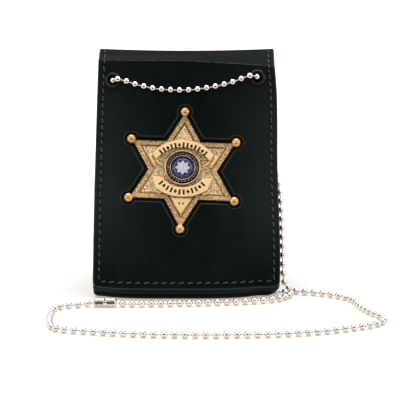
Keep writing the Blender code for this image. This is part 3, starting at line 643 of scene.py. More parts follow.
def front_outline(start, length, round_left=CORNER, round_right=CORNER):
    """Outline of a front-leaf layer, anticlockwise; a negative start runs on over the spine."""
    low = length - round_left
    wider = SPINE_FLARE * max(-start, 0) / SPINE_WIDTH
    left, right = [], []
    for below in [start] + [place for place in spread(0, low, OUTLINE_STEP)[:-1] if place > start]:
        extra = wider if below < 0 else 0
        left.append((-leaf_half_width(below) - extra, -below))
        if below < length - round_right:
            right.append((right_half_width(below) + extra, -below))
    side = leaf_half_width(length) - round_left
    left_corner = arc((-side, -low), round_left, -pi, -pi / 2, 8)
    side = right_half_width(length) - round_right
    right_corner = arc((side, round_right - length), round_right, -pi / 2, 0, 12)
    return left + left_corner + right_corner + right[::-1]


def swung(across, along, turn, centre):
    """A point turned about the origin and then moved by a centre's place."""
    x = centre[0] + across * cos(turn) - along * sin(turn)
    return x, centre[1] + across * sin(turn) + along * cos(turn)


def turned(across, along):
    """A point given from the badge's middle, in the front leaf's flat coordinates."""
    return swung(across, along, BADGE_TURN, (BADGE_ACROSS, -BADGE_BELOW))


def on_badge(loop):
    """A loop about the badge's middle, in the front leaf's flat coordinates."""
    return [turned(*point) for point in loop]


def star_loop(radius):
    """A six-pointed star of two crossed triangles, anticlockwise, one point up."""
    reaches = (radius, radius / sqrt(3))
    return [polar(reaches[i % 2], pi / 2 + i * pi / 6) for i in range(12)]


def recess_loop():
    """The star's cut-out: its outline with a margin, and a round notch at each ball."""
    inner = (TIP + 2 * RECESS_MARGIN) / sqrt(3)
    opening = pi - pi / 6 - asin(RECESS_MARGIN / NOTCH)
    points = []
    for angle in STAR_ANGLES:
        points += arc(polar(TIP, angle), NOTCH, angle - opening, angle + opening, 18)
        points.append(polar(inner, angle + pi / 6))
    return points


def eyelet_holes():
    """The holes in the leather for the two eyelets."""
    return [circle((x, -below), EYELET_HOLE) for x, below in EYELETS.values()]


def rear_half_width(below):
    """Half width of the rear leather, a little less at the fold, whose ends are rounded."""
    near = max(0, 1 - abs(below) / FOLD_END_REACH)
    share = min(max(below / REAR_FLARE_LENGTH, 0), 1)
    flare = SPINE_FLARE + (REAR_FLARE - SPINE_FLARE) * share
    return HALF_WIDTH + flare - FOLD_END_ROUND * near * near


def rear_corner():
    """The rear leaf's right foot corner, with its foot along +Z."""
    middle = (REAR_HALF_WIDTH - REAR_CORNER, LEAF_LENGTH - REAR_CORNER)
    return arc(middle, REAR_CORNER, 0, pi / 2, 8)


def build_front_cover():
    """Outer leather of the front leaf and the near part of the spine, with holes and cut-out."""
    mesh = layered(
        front_outline(-SEAM, COVER_LENGTH), [on_badge(recess_loop())] + eyelet_holes(),
        leather_rim(0), hold=SEAM,
    )
    rows = spread(-COVER_LENGTH, -6 * MM, 7 * MM)[1:] + spread(-4 * MM, 4 * MM, FOLD_STEP)
    cut_rows(mesh, rows + [6 * MM, 7.5 * MM], 2)
    cut_rows(mesh, spread(-COLUMNS_END, COLUMNS_END, COLUMN_STEP), 0)
    # Faces along the crease on the outer face take the third material, partly wear and partly a
    # painted highlight.
    for face in mesh.faces:
        middle = face.calc_center_median()
        if abs(middle.z + FOLD_STEP / 2) < 0.15 * MM and middle.y < EDGE_ROUND / 9:
            face.material_index = 2
    piece("front_leather", laid(mesh, over_front_fold), [leather, edge_leather, crease_wear_and_highlight],
          ["front_cover"], body=FRONT_BEND)


def build_rear_cover():
    """Outer leather of the rear leaf and the far part of the spine."""
    far = SPINE_WIDTH - SEAM
    places = [-far] + spread(-FOLD_END_REACH, FOLD_END_REACH, FOLD_END_REACH / 5)
    right = [(rear_half_width(below), below) for below in places] + rear_corner()
    outline = right + [(-x, below) for x, below in reversed(right)]
    mesh = layered([(x, -below) for x, below in reversed(outline)], [], leather_rim(0), hold=far)
    rows = spread(-LEAF_LENGTH, -7 * MM, 9 * MM)[1:] + spread(-5 * MM, 5 * MM, FOLD_STEP)
    cut_rows(mesh, rows, 2)
    cut_rows(mesh, spread(-38 * MM, 38 * MM, 7 * MM), 0)
    piece("rear_leather", laid(mesh, over_rear_fold, OTHER_UNEVEN), [leather, edge_leather],
          ["rear_cover", "spine_cover"], body=REAR_BEND)


def build_layers():
    """Backing and lining of the front leaf. Their foot faces take the darker inside leather as painted
    shade, and below the cover's foot the backing's face takes the paler edge leather as a painted
    light band.
    """
    for name, node, top, length, round_right in (
        ("backing_leather", "badge_backing", BACKING_TOP, BACKING_LENGTH, CORNER),
        ("lining_leather", "front_lining", LINING_TOP, LEAF_LENGTH, LINING_CORNER),
    ):
        outline = front_outline(SETBACK, length, LEFT_CORNER, round_right)
        mesh = layered(outline, eyelet_holes(), leather_rim(top))
        cut_rows(mesh, spread(-length, -BOW_START, FOOT_STEP)[1:] + [-COVER_LENGTH], 2)
        cut_rows(mesh, spread(-COLUMNS_END, COLUMNS_END, COLUMN_STEP), 0)
        for face in mesh.faces:
            middle = face.calc_center_median()
            # Foot faces, towards the floor: painted shade.
            if middle.z < EDGE_ROUND - length:
                face.material_index = 0
            # The backing's face below the cover: a painted light band.
            elif middle.z < -COVER_LENGTH and middle.y < BACKING_TOP + EDGE_ROUND / 2:
                face.material_index = 1
        piece(name, laid(mesh, on_front), [inside_leather, edge_leather], [node])


def lathe(profile, centre, segments=48, closed=True):
    """A mesh turned about the front leaf's depth axis; profile is (radius, depth) in millimetres."""
    mesh = bmesh.new()
    rings = [ring_at(mesh, circle(centre, r * MM, segments), depth * MM) for r, depth in profile]
    bridge(mesh, rings + rings[:1] if closed else rings)
    if not closed:
        mesh.faces.new(rings[0])
        mesh.faces.new(rings[-1])
    return mesh


def build_eyelets():
    """Black eyelets with a rolled flange, and their washers."""
    eyelet = (
        (2.40, 8.15), (2.40, 4.0), (2.40, 0.2), (2.45, -0.30), (2.62, -0.66), (2.90, -0.88),
        (3.22, -0.95), (3.55, -0.88), (3.83, -0.68), (4.02, -0.38), (4.10, -0.05), (4.02, 0.02),
        (3.20, 0.02), (2.85, 0.1), (2.80, 0.4), (2.80, 4.0), (2.80, 7.7), (2.90, 8.0),
        (2.75, 8.18), (2.55, 8.22),
    )
    washer = (
        (3.10, 7.55), (3.15, 7.50), (4.30, 7.50), (4.40, 7.58), (4.38, 7.78), (4.25, 7.90),
        (3.20, 7.92), (3.10, 7.84),
    )
    for side, (x, below) in EYELETS.items():
        for name, node, profile in (
            ("eyelet_ring_", "eyelet_", eyelet), ("washer_ring_", "eyelet_washer_", washer),
        ):
            piece(name + side, lathe(profile, (x, -below)), [black_metal], [node + side],
                  flat=False)


def fan(mesh, ring, peak, slot=0):
    """Faces from a ring of corners to one more."""
    for i, corner in enumerate(ring):
        mesh.faces.new((corner, ring[(i + 1) % len(ring)], peak)).material_index = slot


def add_ball(mesh, x, z):
    """A smooth ball on a tip of the star."""
    rings = []
    for i in range(1, 12):
        middle = Vector((x, BALL_DEPTH, z + BALL * cos(pi * i / 12)))
        radius = BALL * sin(pi * i / 12)
        rings.append(tube_ring(mesh, middle, Vector((radius, 0, 0)), Vector((0, radius, 0)), 20))
    bridge(mesh, rings, [3] * 10)
    for ring, height in ((rings[0], BALL), (rings[-1], -BALL)):
        fan(mesh, ring, mesh.verts.new((x, BALL_DEPTH, z + height)), 3)


def build_star():
    """Struck star with a raised border, a lower stippled panel and smooth ball tips."""
    profile = [
        (0, 2.20 * MM), (0.06 * MM, 1.45 * MM), (0.40 * MM, 0.98 * MM), (0.62 * MM, 0.83 * MM),
        (BORDER - 0.45 * MM, 0.80 * MM), (BORDER - 0.25 * MM, 0.90 * MM),
        (BORDER, 1.12 * MM), (BORDER + 0.20 * MM, 1.16 * MM), (BORDER + 0.42 * MM, 0.98 * MM),
        (BORDER + 0.60 * MM, 0.92 * MM),
    ]
    # Side wall, outer chamfer and border groove take the copper painted shade; the border top the
    # darker gold, the panel the stipple.
    mesh = layered(on_badge(star_loop(TIP)), [], profile, slots=[2, 2, 1, 1, 2, 2, 2, 1, 0])
    for angle in STAR_ANGLES:
        add_ball(mesh, *turned(*polar(TIP, angle)))
    mesh.transform(FRONT)
    piece("star_plate", mesh, [gold, gold_border, copper_painted_shade, ball_gold], ["badge_star"])


def raised(loop, back, height, bevel):
    """A small raised panel on the badge, with a rounded rim in its second material."""
    mesh = layered(on_badge(loop), [], rounded_edges(back - height, back, bevel, steps=4))
    mesh.transform(FRONT)
    return mesh


def banner_arc(shares, middle, steps=28):
    """One edge of a banner about the angle of its crown."""
    hub, radius, reach = shares
    return arc((0, TIP * hub), TIP * radius, middle - reach, middle + reach, steps)


def lozenge(centre, length, width, turn):
    """A small four-cornered mark about a point of the badge."""
    corners = ((length, 0), (0, width), (-length, 0), (0, -width))
    return [swung(x, z, turn, centre) for x, z in corners]


def add_mark(mesh, loop, top, height=0.05 * MM):
    """Adds a low enamel mark to a mesh."""
    outline = on_badge(loop)
    low = ring_at(mesh, outline, top)
    high = ring_at(mesh, inset(outline, height), top - height)
    bridge(mesh, [low, high])
    mesh.faces.new(high)
    mesh.faces.new(low[::-1])


def banner_marks(mesh, shares, middle, count):
    """Bold plain strokes and lozenges in a row along a banner."""
    hub, low_share, high_share, reach = shares
    for i in range(count):
        angle = middle - reach + 2 * reach * i / (count - 1)
        way = Vector(polar(1, angle))
        low = Vector((0, TIP * hub)) + way * TIP * low_share
        high = Vector((0, TIP * hub)) + way * TIP * high_share
        if i % 3 == 1:
            loop = lozenge((low + high) / 2, 1.15 * MM, 0.85 * MM, angle)
        else:
            side = Vector((-way.y, way.x)) * 0.42 * MM
            loop = [low + side, high + side, high - side, low - side]
        add_mark(mesh, loop, BANNER_SEAT - BANNER_HEIGHT + 0.01 * MM)


def ribbon(mesh, points, width, top, height):
    """A struck ribbon of a width along points of the badge, with a rounded back."""
    rings = []
    for i, point in enumerate(points):
        way = Vector(points[min(i + 1, len(points) - 1)]) - Vector(points[max(i - 1, 0)])
        side = Vector((-way.y, way.x)).normalized() * width / 2
        taper = 1 if 0 < i < len(points) - 1 else 0.55
        ring = []
        for j in range(7):
            angle = pi * j / 6
            place = turned(*(Vector(point) + side * taper * cos(angle)))
            ring += ring_at(mesh, [place], top - height * sin(angle))
        rings.append(ring)
    bridge(mesh, rings)
    mesh.faces.new(rings[0])
    mesh.faces.new(rings[-1])


def build_banners():
    """Two polished banners and the point panel, with their enamel marks."""
    up = pi / 2
    end = [(side * TIP * LOWER_END[0], -TIP * LOWER_END[1]) for side in (1, -1)]
    for name, node, outer, inner, middle, ends in (
        ("banner_top", "upper_banner", UPPER_OUTER, UPPER_INNER, up, [[], []]),
        ("banner_bottom", "lower_banner", LOWER_OUTER, LOWER_INNER, -up, [end[:1], end[1:]]),
    ):
        back = banner_arc(inner, middle)[::-1]
        loop = banner_arc(outer, middle) + ends[0] + back + ends[1]
        mesh = raised(loop, BANNER_SEAT, BANNER_HEIGHT, 0.30 * MM)
        piece(name, mesh, [polished, gold_smooth], [node])
    marks = bmesh.new()
    banner_marks(marks, UPPER_MARKS, up, 13)
    banner_marks(marks, LOWER_MARKS, -up, 12)
    apex = (BORDER + 0.55 * MM) / sin(pi / 6) - TIP
    top = -TIP * (LOWER_OUTER[1] - LOWER_OUTER[0]) - 0.3 * MM
    half = (top - apex) * tan(pi / 6)
    for x in (-0.9 * MM, 0.9 * MM):
        add_mark(marks, lozenge((x, top - 2.6 * MM), 0.8 * MM, 0.5 * MM, up), 0.54 * MM)
    piece("banner_marks", marks, [black_enamel], [], flat=False)
    mesh = raised([(0, apex), (half, top), (-half, top)], 0.95 * MM, 0.42 * MM, 0.2 * MM)
    piece("point_plate", mesh, [polished, gold_smooth], ["point_panel"])


def build_ribbon_folds():
    """The struck folded ribbon ends beside the banners."""
    folds = bmesh.new()
    for side in (-1, 1):
        for points, width in (
            (((16.2, 7.6), (15.4, 5.6), (14.2, 3.6), (13.2, 1.6)), 1.9),
            (((12.6, 6.6), (12.9, 4.8), (11.8, 3.2), (9.2, 2.2)), 1.3),
            (((8.8, 10.6), (11.2, 8.6), (12.6, 6.4)), 0.6),
            (((13.4, -9.2), (12.3, -10.8), (10.7, -11.4), (9.4, -10.9)), 1.6),
        ):
            bent = [(side * x * MM, z * MM) for x, z in points]
            ribbon(folds, bent, width * MM, 0.85 * MM, 0.6 * MM)
    piece("ribbon_folds", folds, [polished], [], flat=False)


def seal_line(mesh, radius, half_width, top):
    """A thin raised gold ring about the seal's middle, its sizes in millimetres."""
    outer, inner = [
        on_badge(circle((0, SEAL_UP), (radius + side * half_width) * MM, 64)) for side in (1, -1)
    ]
    rings = [
        ring_at(mesh, loop, (top + sunk) * MM)
        for loop, sunk in ((outer, 0.05), (outer, 0), (inner, 0), (inner, 0.05))
    ]
    bridge(mesh, rings + rings[:1])


def seal_dot(mesh, radius, angle, length, width, top):
    """A small four-sided gold point about the seal's middle, its sizes in millimetres."""
    place = polar(radius * MM, angle, (0, SEAL_UP))
    low = ring_at(mesh, on_badge(lozenge(place, length * MM, width * MM, angle)), top * MM)
    peak = ring_at(mesh, [turned(*place)], (top - 0.09) * MM)[0]
    fan(mesh, low, peak)
    mesh.faces.new(low[::-1])


def build_seal():
    """Gold rim, navy ring, blue disc and a plain white rosette."""
    for name, node, made, slot, profile in (
        ("seal_hoop", "seal_rim", gold_smooth, "gold", (
            (8.06, 0.72), (8.06, -0.30), (8.12, -0.46), (8.26, -0.56), (8.44, -0.58),
            (8.60, -0.48), (8.70, -0.28), (8.73, 0.0), (8.73, 0.72),
        )),
        ("seal_band", "seal_ring", navy, "navy_enamel", (
            (5.98, 0.72), (5.98, -0.20), (6.06, -0.26), (6.9, -0.31), (7.9, -0.26), (8.0, -0.2),
            (8.0, 0.72),
        )),
        ("seal_face", "seal_disc", blue, "blue_enamel", (
            (5.88, 0.72), (5.88, 0.02), (3.0, -0.06), (0.5, -0.08),
        )),
    ):
        mesh = lathe(profile, turned(0, SEAL_UP), 64, closed=name != "seal_face")
        piece(name, mesh, [made], [node], flat=False)
    build_seal_trim()
    petals = []
    for i in range(96):
        angle = 2 * pi * i / 96
        reach = TIP * 0.122 * (1 - 0.30 * (1 - cos(8 * angle)) / 2)
        petals.append(polar(reach, angle, (0, SEAL_UP)))
    mesh = raised(petals, -0.03 * MM, 0.35 * MM, 0.25 * MM)
    piece("rosette", mesh, [white, white], ["seal_rosette"])


def build_seal_trim():
    """Thin gold rings on the seal, and rows of gold dots round it."""
    trim = bmesh.new()
    seal_line(trim, 5.96, 0.11, -0.31)
    seal_line(trim, 4.15, 0.06, -0.10)
    turn = 2 * pi
    for i in range(28):
        if i % 14 not in (0, 1, 13):
            seal_dot(trim, 6.98, turn * i / 28, 0.62, 0.20, -0.29)
    for i in range(2):
        seal_dot(trim, 6.98, turn * i / 2, 0.36, 0.36, -0.29)
    for i in range(30):
        seal_dot(trim, 5.0, turn * i / 30, 0.34, 0.13, -0.03)
    piece("seal_trim", trim, [gold_smooth], [], flat=False)


def tube_ring(mesh, middle, across, other, count, lay=Vector):
    """Corners round a tube's middle, from its two half axes."""
    ring = []
    for i in range(count):
        angle = 2 * pi * i / count
        spoke = across * cos(angle) + other * sin(angle)
        ring.append(mesh.verts.new(lay(middle + spoke)))
    return ring


def add_stitch(mesh, start, way, side, out, lay):
    """One sewn stitch: a short thread that dives into the leather at both ends, where near-black discs
    are painted shade for its holes.
    """
    rings = []
    for share, lift, thickness in (
        (-0.52, -0.9, 0.7), (-0.46, 0.0, 0.9), (-0.25, 0.75, 1.0), (0.0, 0.9, 1.05),
        (0.25, 0.75, 1.0), (0.46, 0.0, 0.9), (0.52, -0.9, 0.7),
    ):
        middle = start + way * STITCH_LENGTH * share + out * STITCH_RADIUS * (lift - 0.35)
        radius = STITCH_RADIUS * thickness
        rings.append(tube_ring(mesh, middle, side * radius, out * radius, 8, lay))
    bridge(mesh, rings)
    # Near-black discs in the second material: painted shade for the stitch holes.
    for end in (-0.56, 0.56):
        middle = start + way * STITCH_LENGTH * end + out * 0.03 * MM
        width, length = side * STITCH_RADIUS * 1.35, way * STITCH_RADIUS * 1.6
        mesh.faces.new(tube_ring(mesh, middle, width, length, 10, lay)).material_index = 1


def stitch_line(mesh, route, face, outward, lay, pitch=FOOT_PITCH):
    """A row of stitches along flat points (across, along) at a depth."""
    points = [Vector((x, face, z)) for x, z in route]
    length = sum((b - a).length for a, b in zip(points, points[1:]))
    count = max(1, round(length / pitch))
    out = Vector((0, outward, 0))
    turn = Matrix.Rotation(-STITCH_SLANT, 3, "Y")
    for middle, way in along(points, [(i + 0.5) * length / count for i in range(count)]):
        slanted = turn @ way
        add_stitch(mesh, middle, slanted, slanted.cross(out), out, lay)


def sew_leaf(name, routes, across, foot, outer, inner, depth, start, way, bend):
    """Stitches along a leaf's sides and foot, on its outer face and on its inner one.

    The inner ones lie at a depth and run from a start below the fold, along Z or against it.
    """
    mesh = bmesh.new()
    for route in routes:
        stitch_line(mesh, route, 0, -1, outer, SIDE_PITCH)
        within = [(x, way * z) for x, z in route if z < -start]
        stitch_line(mesh, within, depth, 1, inner, SIDE_PITCH)
    stitch_line(mesh, [(-across, -foot), (across, -foot)], 0, -1, outer)
    stitch_line(mesh, [(-across, -way * foot), (across, -way * foot)], depth, 1, inner)
    piece(name, mesh, [thread, painted_hole_shade], body=bend, flat=False)


def build_stitches():
    """The sewing along both sides and the foot of each leaf, and over the spine."""
    foot = COVER_LENGTH - STITCH_UP
    places = spread(SEAM_GAP - SEAM, foot, OUTLINE_STEP)
    routes = [
        [(side * (width(below) - STITCH_IN), -below) for below in places]
        for side, width in ((-1, leaf_half_width), (1, right_half_width))
    ]
    across = leaf_half_width(foot) - STITCH_IN
    sew_leaf("front_stitches", routes, across, foot, over_front_fold, on_front, LINING_BACK,
             3 * MM, 1, FRONT_BEND)
    foot = LEAF_LENGTH - STITCH_UP
    places = spread(SEAM - SPINE_WIDTH + SEAM_GAP, foot, OUTLINE_STEP)
    across = REAR_HALF_WIDTH - STITCH_IN
    routes = [[(x, -below) for below in places] for x in (-across, across)]
    sew_leaf("rear_stitches", routes, across, foot, over_rear_fold, on_rear, POCKET_BACK,
             7 * MM, -1, REAR_BEND)


def rounded_box(half_width, low, high, radius):
    """A rounded rectangle centred across, anticlockwise."""
    side, low, high = half_width - radius, low + radius, high - radius
    points = []
    for i, corner in enumerate(((side, low), (side, high), (-side, high), (-side, low))):
        points += arc(corner, radius, (i - 1) * pi / 2, i * pi / 2, 6)
    return points


def build_pocket():
    """The leather frame on the rear leaf's inside, which holds the clear window."""
    corner = rear_corner()
    left_corner = [(-x, z) for x, z in reversed(corner)]
    start = [(-REAR_HALF_WIDTH, POCKET_START), (REAR_HALF_WIDTH, POCKET_START)]
    opening = rounded_box(WINDOW_HALF_WIDTH, WINDOW_START, WINDOW_END, WINDOW_CORNER)
    rim = rounded_edges(POCKET_TOP, POCKET_BACK, POCKET_ROUND)
    profile = [(distance, POCKET_TOP + POCKET_BACK - depth) for distance, depth in rim]
    mesh = layered(start + corner + left_corner, [opening], profile)
    piece("pocket_frame", laid(mesh, on_rear), [inside_leather, edge_leather], ["id_frame"],
          body="rear_leaf")


def floor_route(points):
    """Route points on the floor, where the beads' middles lie one radius up."""
    return [Vector((x * MM, y * MM, BEAD)) for x, y in points]


def leaf_route(points):
    """Route points given across the front leaf, below its fold and in from its face."""
    return [FRONT @ Vector((x * MM, depth * MM, -below * MM)) for x, below, depth in points]


def clip_route(side):
    """Route points in one end of the connector and at its middle."""
    reaches = (CONNECTOR_HALF, CLIP_GAP / 2)
    return [Vector((CONNECTOR[0] + side * reach, CONNECTOR[1], LIFTED)) for reach in reaches]


SWAG = leaf_route((
    (-36.0, 10.0, 2.6), (-36.0, 10.0, 0.4), (-35.5, 10.1, -1.2), (-34.5, 10.2, -2.4),
    (-32.7, 10.4, -2.8), (-30.0, 11.0, -2.5), (-27.0, 11.9, -2.0), (-23.0, 13.1, -1.9),
    (-15.0, 14.8, -1.9), (-7.0, 15.5, -1.9), (1.0, 15.5, -1.9), (9.0, 14.6, -1.9),
    (17.0, 13.0, -1.9), (22.8, 11.3, -1.9), (26.6, 9.9, -2.1), (29.2, 8.9, -2.5),
    (31.5, 8.5, -2.8), (33.3, 8.5, -2.4), (34.3, 8.5, -1.2), (34.6, 8.5, 1.2),
))
LEFT = leaf_route((
    (-35.9, 9.9, 3.0), (-35.8, 9.8, 6.6), (-35.5, 10.9, 9.2), (-35.4, 14.5, 10.4),
    (-35.1, 25.0, 11.8), (-34.5, 43.0, 14.0), (-32.8, 61.0, 16.2), (-29.4, 78.0, 18.2),
    (-23.4, 92.0, 19.8), (-15.0, 100.8, 20.6),
)) + floor_route((
    (-6.0, -16.2), (5.0, -18.9), (16.0, -21.3), (26.0, -24.0), (35.0, -26.4), (41.0, -26.9),
    (45.8, -27.5), (49.0, -29.4), (50.0, -32.2), (48.8, -35.6), (46.8, -39.0), (44.2, -42.0),
    (40.9, -44.5), (36.6, -46.2), (28.8, -48.4), (19.9, -50.2), (11.0, -51.4), (2.1, -52.4),
    (-6.8, -53.3), (-15.6, -54.0), (-23.5, -54.3), (-28.5, -54.1),
)) + clip_route(1)
RIGHT = leaf_route((
    (34.6, 8.5, 1.6), (34.6, 8.6, 6.4), (34.8, 9.4, 9.2), (35.1, 12.4, 10.4), (36.0, 19.6, 10.2),
    (38.9, 33.6, 9.8), (42.5, 49.5, 9.6), (45.3, 63.0, 9.8), (46.1, 77.0, 10.4),
    (46.4, 90.0, 11.8),
)) + [Vector((46.7 * MM, -18.5 * MM, 9.5 * MM)), Vector((48.0 * MM, -21.8 * MM, 3.1 * MM))]
RIGHT += floor_route((
    (52.8, -26.0), (61.3, -29.3), (69.0, -33.7), (75.0, -40.2), (78.2, -48.4), (79.8, -60.0),
    (83.0, -71.0), (86.9, -79.4), (87.7, -85.4), (85.4, -90.8), (80.2, -96.0), (64.4, -104.9),
    (47.4, -110.4), (31.0, -112.9), (10.0, -114.0), (-9.0, -113.1), (-25.3, -110.9),
    (-40.0, -107.4), (-51.0, -104.3), (-56.4, -100.6), (-58.8, -93.4), (-59.8, -79.0),
    (-59.7, -67.0), (-58.2, -61.0), (-54.2, -57.3), (-48.0, -55.2),
)) + clip_route(-1)


def smooth_route(route):
    """Many points along a smooth curve through the route's points, none below the floor's."""
    padded = [2 * route[0] - route[1]] + list(route) + [2 * route[-1] - route[-2]]
    points = []
    for before, here, there, after in zip(padded, padded[1:], padded[2:], padded[3:]):
        for i in range(24):
            t = i / 24
            bend = (2 * before - 5 * here + 4 * there - after) * t * t
            twist = (3 * here - before - 3 * there + after) * t**3
            point = (2 * here + (there - before) * t + bend + twist) / 2
            point.z = max(point.z, BEAD)
            points.append(point)
    return points + [route[-1]]


def along(points, distances):
    """Points and directions at distances along a smooth route."""
    found = []
    i = 0
    passed = 0.0
    step = (points[1] - points[0]).length
    for distance in distances:
        while passed + step < distance and i < len(points) - 2:
            passed += step
            i += 1
            step = (points[i + 1] - points[i]).length
        share = min(max((distance - passed) / step, 0), 1)
        way = (points[i + 1] - points[i]).normalized()
        found.append((points[i].lerp(points[i + 1], share), way))
    return found


def chain_shape(length, last):
    """Profile of a stretch of balls joined by thin necks, as (distance, radius)."""
    reach = length - last - PITCH / 2
    count = 1 + round(reach / PITCH)
    pitch = reach / (count - 1)
    mouth = BEAD * cos(BEAD_MOUTH) - NECK_START
    shape = []
    for bead in range(count):
        middle = PITCH / 2 + bead * pitch
        for i in range(11):
            angle = BEAD_MOUTH + (pi - 2 * BEAD_MOUTH) * i / 10
            shape.append((middle - BEAD * cos(angle), BEAD * sin(angle)))
        shape += [(middle + mouth, NECK * 1.05), (middle + pitch - mouth, NECK * 1.05)]
    inside = [(min(max(distance, 0), length), radius) for distance, radius in shape[:-1]]
    return [(0.0, NECK)] + inside + [(length, NECK)]


def build_chain(name, route, node, last):
    """One stretch of ball chain; last is how far its end ball lies from its end."""
    points = smooth_route(route)
    length = sum((b - a).length for a, b in zip(points, points[1:]))
    distances, radii = zip(*chain_shape(length, last))
    mesh = bmesh.new()
    rings = []
    side = Vector((0, 0, 1)).cross(points[1] - points[0]).normalized()
    if side.length < 0.5:
        side = Vector((1, 0, 0))
    for (place, way), radius in zip(along(points, distances), radii):
        side = (side - way * side.dot(way)).normalized()
        rings.append(tube_ring(mesh, place, side * radius, way.cross(side) * radius, 18))
    bridge(mesh, rings, [int(max(pair) < 1.2 * NECK) for pair in zip(radii, radii[1:])])
    mesh.faces.new(rings[0])
    mesh.faces.new(rings[-1])
    made = piece(name, mesh, [nickel, neck_nickel], [node], flat=False)


def build_connector():
    """The slotted tube that clips over the chain's end balls, with a notch in its middle."""
    mesh = bmesh.new()
    around, steps = 40, 36
    shells = []
    for depth in (0.0, SLOT_DEPTH):
        rings = []
        for i in range(steps + 1):
            share = 2 * i / steps - 1
            drawn_in = max(0, (abs(share) - 0.80) / 0.20) ** 2
            radius = CONNECTOR_RADIUS - CONNECTOR_WALL / 2 - depth - CONNECTOR_END * drawn_in
            loop = circle((CONNECTOR[1], LIFTED), radius, around)
            x = CONNECTOR[0] + CONNECTOR_HALF * share
            rings.append([mesh.verts.new((x, y, z)) for y, z in loop])
        shells.append(rings)
    for i in range(steps):
        from_slot = abs(abs(2 * (i + 0.5) / steps - 1) - 0.5)
        for j in range(around):
            degrees = 360 * (j + 0.5) / around
            slot = abs(degrees - 171) < 18 and from_slot < 0.36
            notch = abs(degrees - 125) < 30 and abs(i + 0.5 - steps / 2) < 1.2
            seam = abs(degrees - 330) < 5
            sunk = slot or notch or seam
            k = (j + 1) % around
            low, high = shells[sunk][i], shells[sunk][i + 1]
            face = mesh.faces.new((low[j], low[k], high[k], high[j]))
            # Sunk faces take the grey second material, painted shade for the slots, notch and seam.
            face.material_index = int(sunk)
    loose = [corner for corner in mesh.verts if not corner.link_faces]
    bmesh.ops.delete(mesh, geom=loose, context="VERTS")
    made = piece("chain_clip", mesh, [nickel, painted_slot_shade], ["chain_connector"], flat=False)
    wall = made.modifiers.new("wall", "SOLIDIFY")
    wall.thickness = CONNECTOR_WALL
    wall.offset = 0.0


def add_glow(tree, shader, colour):
    """Adds a glow to a surface that only the camera and mirror and glass rays see."""
    path = add_node(tree, "LightPath")
    seen = path.outputs["Is Camera Ray"]
    for other in ("Is Glossy Ray", "Is Transmission Ray"):
        either = add_node(tree, "Math", operation="MAXIMUM")
        tree.links.new(seen, either.inputs[0])
        link(tree, path, other, either, 1)
        seen = either.outputs["Value"]
    glow = add_node(tree, "Emission")
    glow.inputs["Color"].default_value = (*colour, 1.0)
    tree.links.new(seen, glow.inputs["Strength"])
    both = add_node(tree, "AddShader")
    link(tree, shader, "BSDF", both, 0)
    link(tree, glow, "Emission", both, 1)
    link(tree, both, "Shader", tree.nodes["Material Output"], "Surface")


def stage_sheet(name, corners, faces, colour, roughness, specular, glow=None, seen=True):
    """A plain sheet of the stage, which may glow where it is seen, or be hidden from the camera."""
    made, tree, shader = principled(name, {
        "Base Color": (*colour, 1.0), "Roughness": roughness, "Specular IOR Level": specular,
    })
    if glow:
        add_glow(tree, shader, glow)
    data = bpy.data.meshes.new(name)
    data.from_pydata(corners, [], faces)
    data.shade_smooth()
    data.materials.append(made)
    sheet = add_object(name, data)
    sheet.visible_camera = seen


def pale_sheet(name, rows, glow):
    """A wide pale sheet through rows given as (y, z)."""
    corners = [(x, y, z) for y, z in rows for x in (-FLOOR_HALF_WIDTH, FLOOR_HALF_WIDTH)]
    faces = [(2 * i, 2 * i + 1, 2 * i + 3, 2 * i + 2) for i in range(len(rows) - 1)]
    stage_sheet(name, corners, faces, FLOOR_COLOUR, 0.9, 0.1, glow)


def build_floor():
    """A pale floor, and behind it a white backdrop that turns up."""
    pale_sheet("floor", [(-FLOOR_FRONT, 0), (FLOOR_BACK, 0)], FLOOR_GLOW)
    curve = arc((BACKDROP_FOOT, BACKDROP_ROUND), BACKDROP_ROUND, -pi / 2, 0, 11)
    pale_sheet("backdrop", [(FLOOR_BACK, 0), (BACKDROP_FOOT, 0)] + curve[1:], (1, 1, 1))


def build_flag():
    """A dark round flag behind the camera, which mirrors show and the camera doesn't."""
    loop = circle((0.0, FLAG_HEIGHT), FLAG_RADIUS, 40)
    corners = [(x, -FLAG_BACK, z) for x, z in loop]
    stage_sheet("flag", corners, [range(len(loop))], [0.004] * 3, 1.0, 0.0, seen=False)


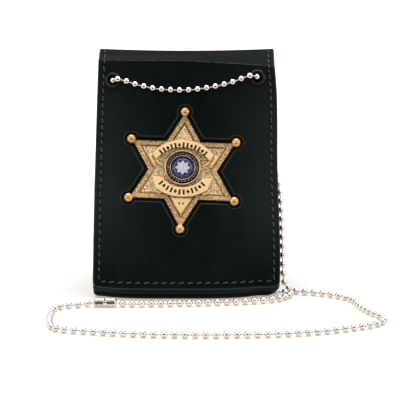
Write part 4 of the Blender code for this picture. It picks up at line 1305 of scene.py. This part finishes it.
def build_room():
    """A plain white room, dimmer as a light than the camera shows it, and between in mirrors."""
    world = bpy.data.worlds.new("studio")
    bpy.context.scene.world = world
    world.use_nodes = True
    tree = world.node_tree
    path = add_node(tree, "LightPath")
    mirrored = add_node(tree, "MapRange")
    mirrored.inputs["To Min"].default_value = ROOM
    mirrored.inputs["To Max"].default_value = MIRRORED_ROOM
    link(tree, path, "Is Glossy Ray", mirrored, "Value")
    strength = add_node(tree, "MapRange")
    strength.inputs["To Max"].default_value = 1.0
    link(tree, mirrored, "Result", strength, "To Min")
    link(tree, path, "Is Camera Ray", strength, "Value")
    tree.nodes["Background"].inputs["Color"].default_value = (1, 1, 1, 1)
    link(tree, strength, "Result", tree.nodes["Background"], "Strength")


def build_lamps():
    """Four soft studio lamps."""
    for name, place, aim, size, power in LAMPS:
        lamp = bpy.data.lights.new(name, "AREA")
        lamp.energy = power
        lamp.shape = "RECTANGLE"
        lamp.size, lamp.size_y = size
        turn = (Vector(aim) - Vector(place)).to_track_quat("-Z", "Y")
        made = add_object(name, lamp)
        made.matrix_world = Matrix.Translation(place) @ turn.to_matrix().to_4x4()


def build_camera():
    """The photo's camera."""
    camera = bpy.data.cameras.new("camera")
    camera.sensor_width = SENSOR
    camera.lens = SENSOR * FOCAL_PIXELS / PHOTO_PIXELS
    made = add_object("camera", camera)
    made.location = CAMERA_PLACE
    made.rotation_euler = (CAMERA_TILT, 0, 0)
    bpy.context.scene.camera = made


for leftover in ("Cube", "Light", "Camera"):
    if leftover in bpy.data.objects:
        bpy.data.objects.remove(bpy.data.objects[leftover], do_unlink=True)
bpy.context.scene.view_settings.view_transform = "Standard"

build_front_cover()
build_rear_cover()
build_layers()
build_pocket()
build_eyelets()
build_star()
build_banners()
build_ribbon_folds()
build_seal()
build_stitches()
build_chain("swag_beads", SWAG, "chain_swag", PITCH / 2)
build_chain("left_beads", LEFT, "chain_left_strand", END_BALL)
build_chain("right_beads", RIGHT, "chain_right_strand", END_BALL)
build_connector()
for node, made in (
    ("spine_lining", inside_leather), ("id_window", vinyl), ("pin_joint", pin_steel),
    ("pin_stem", pin_steel), ("pin_catch", pin_steel),
):
    frame["nodes"][node].material_slots[0].material = made
build_floor()
build_flag()
build_room()
build_lamps()
build_camera()
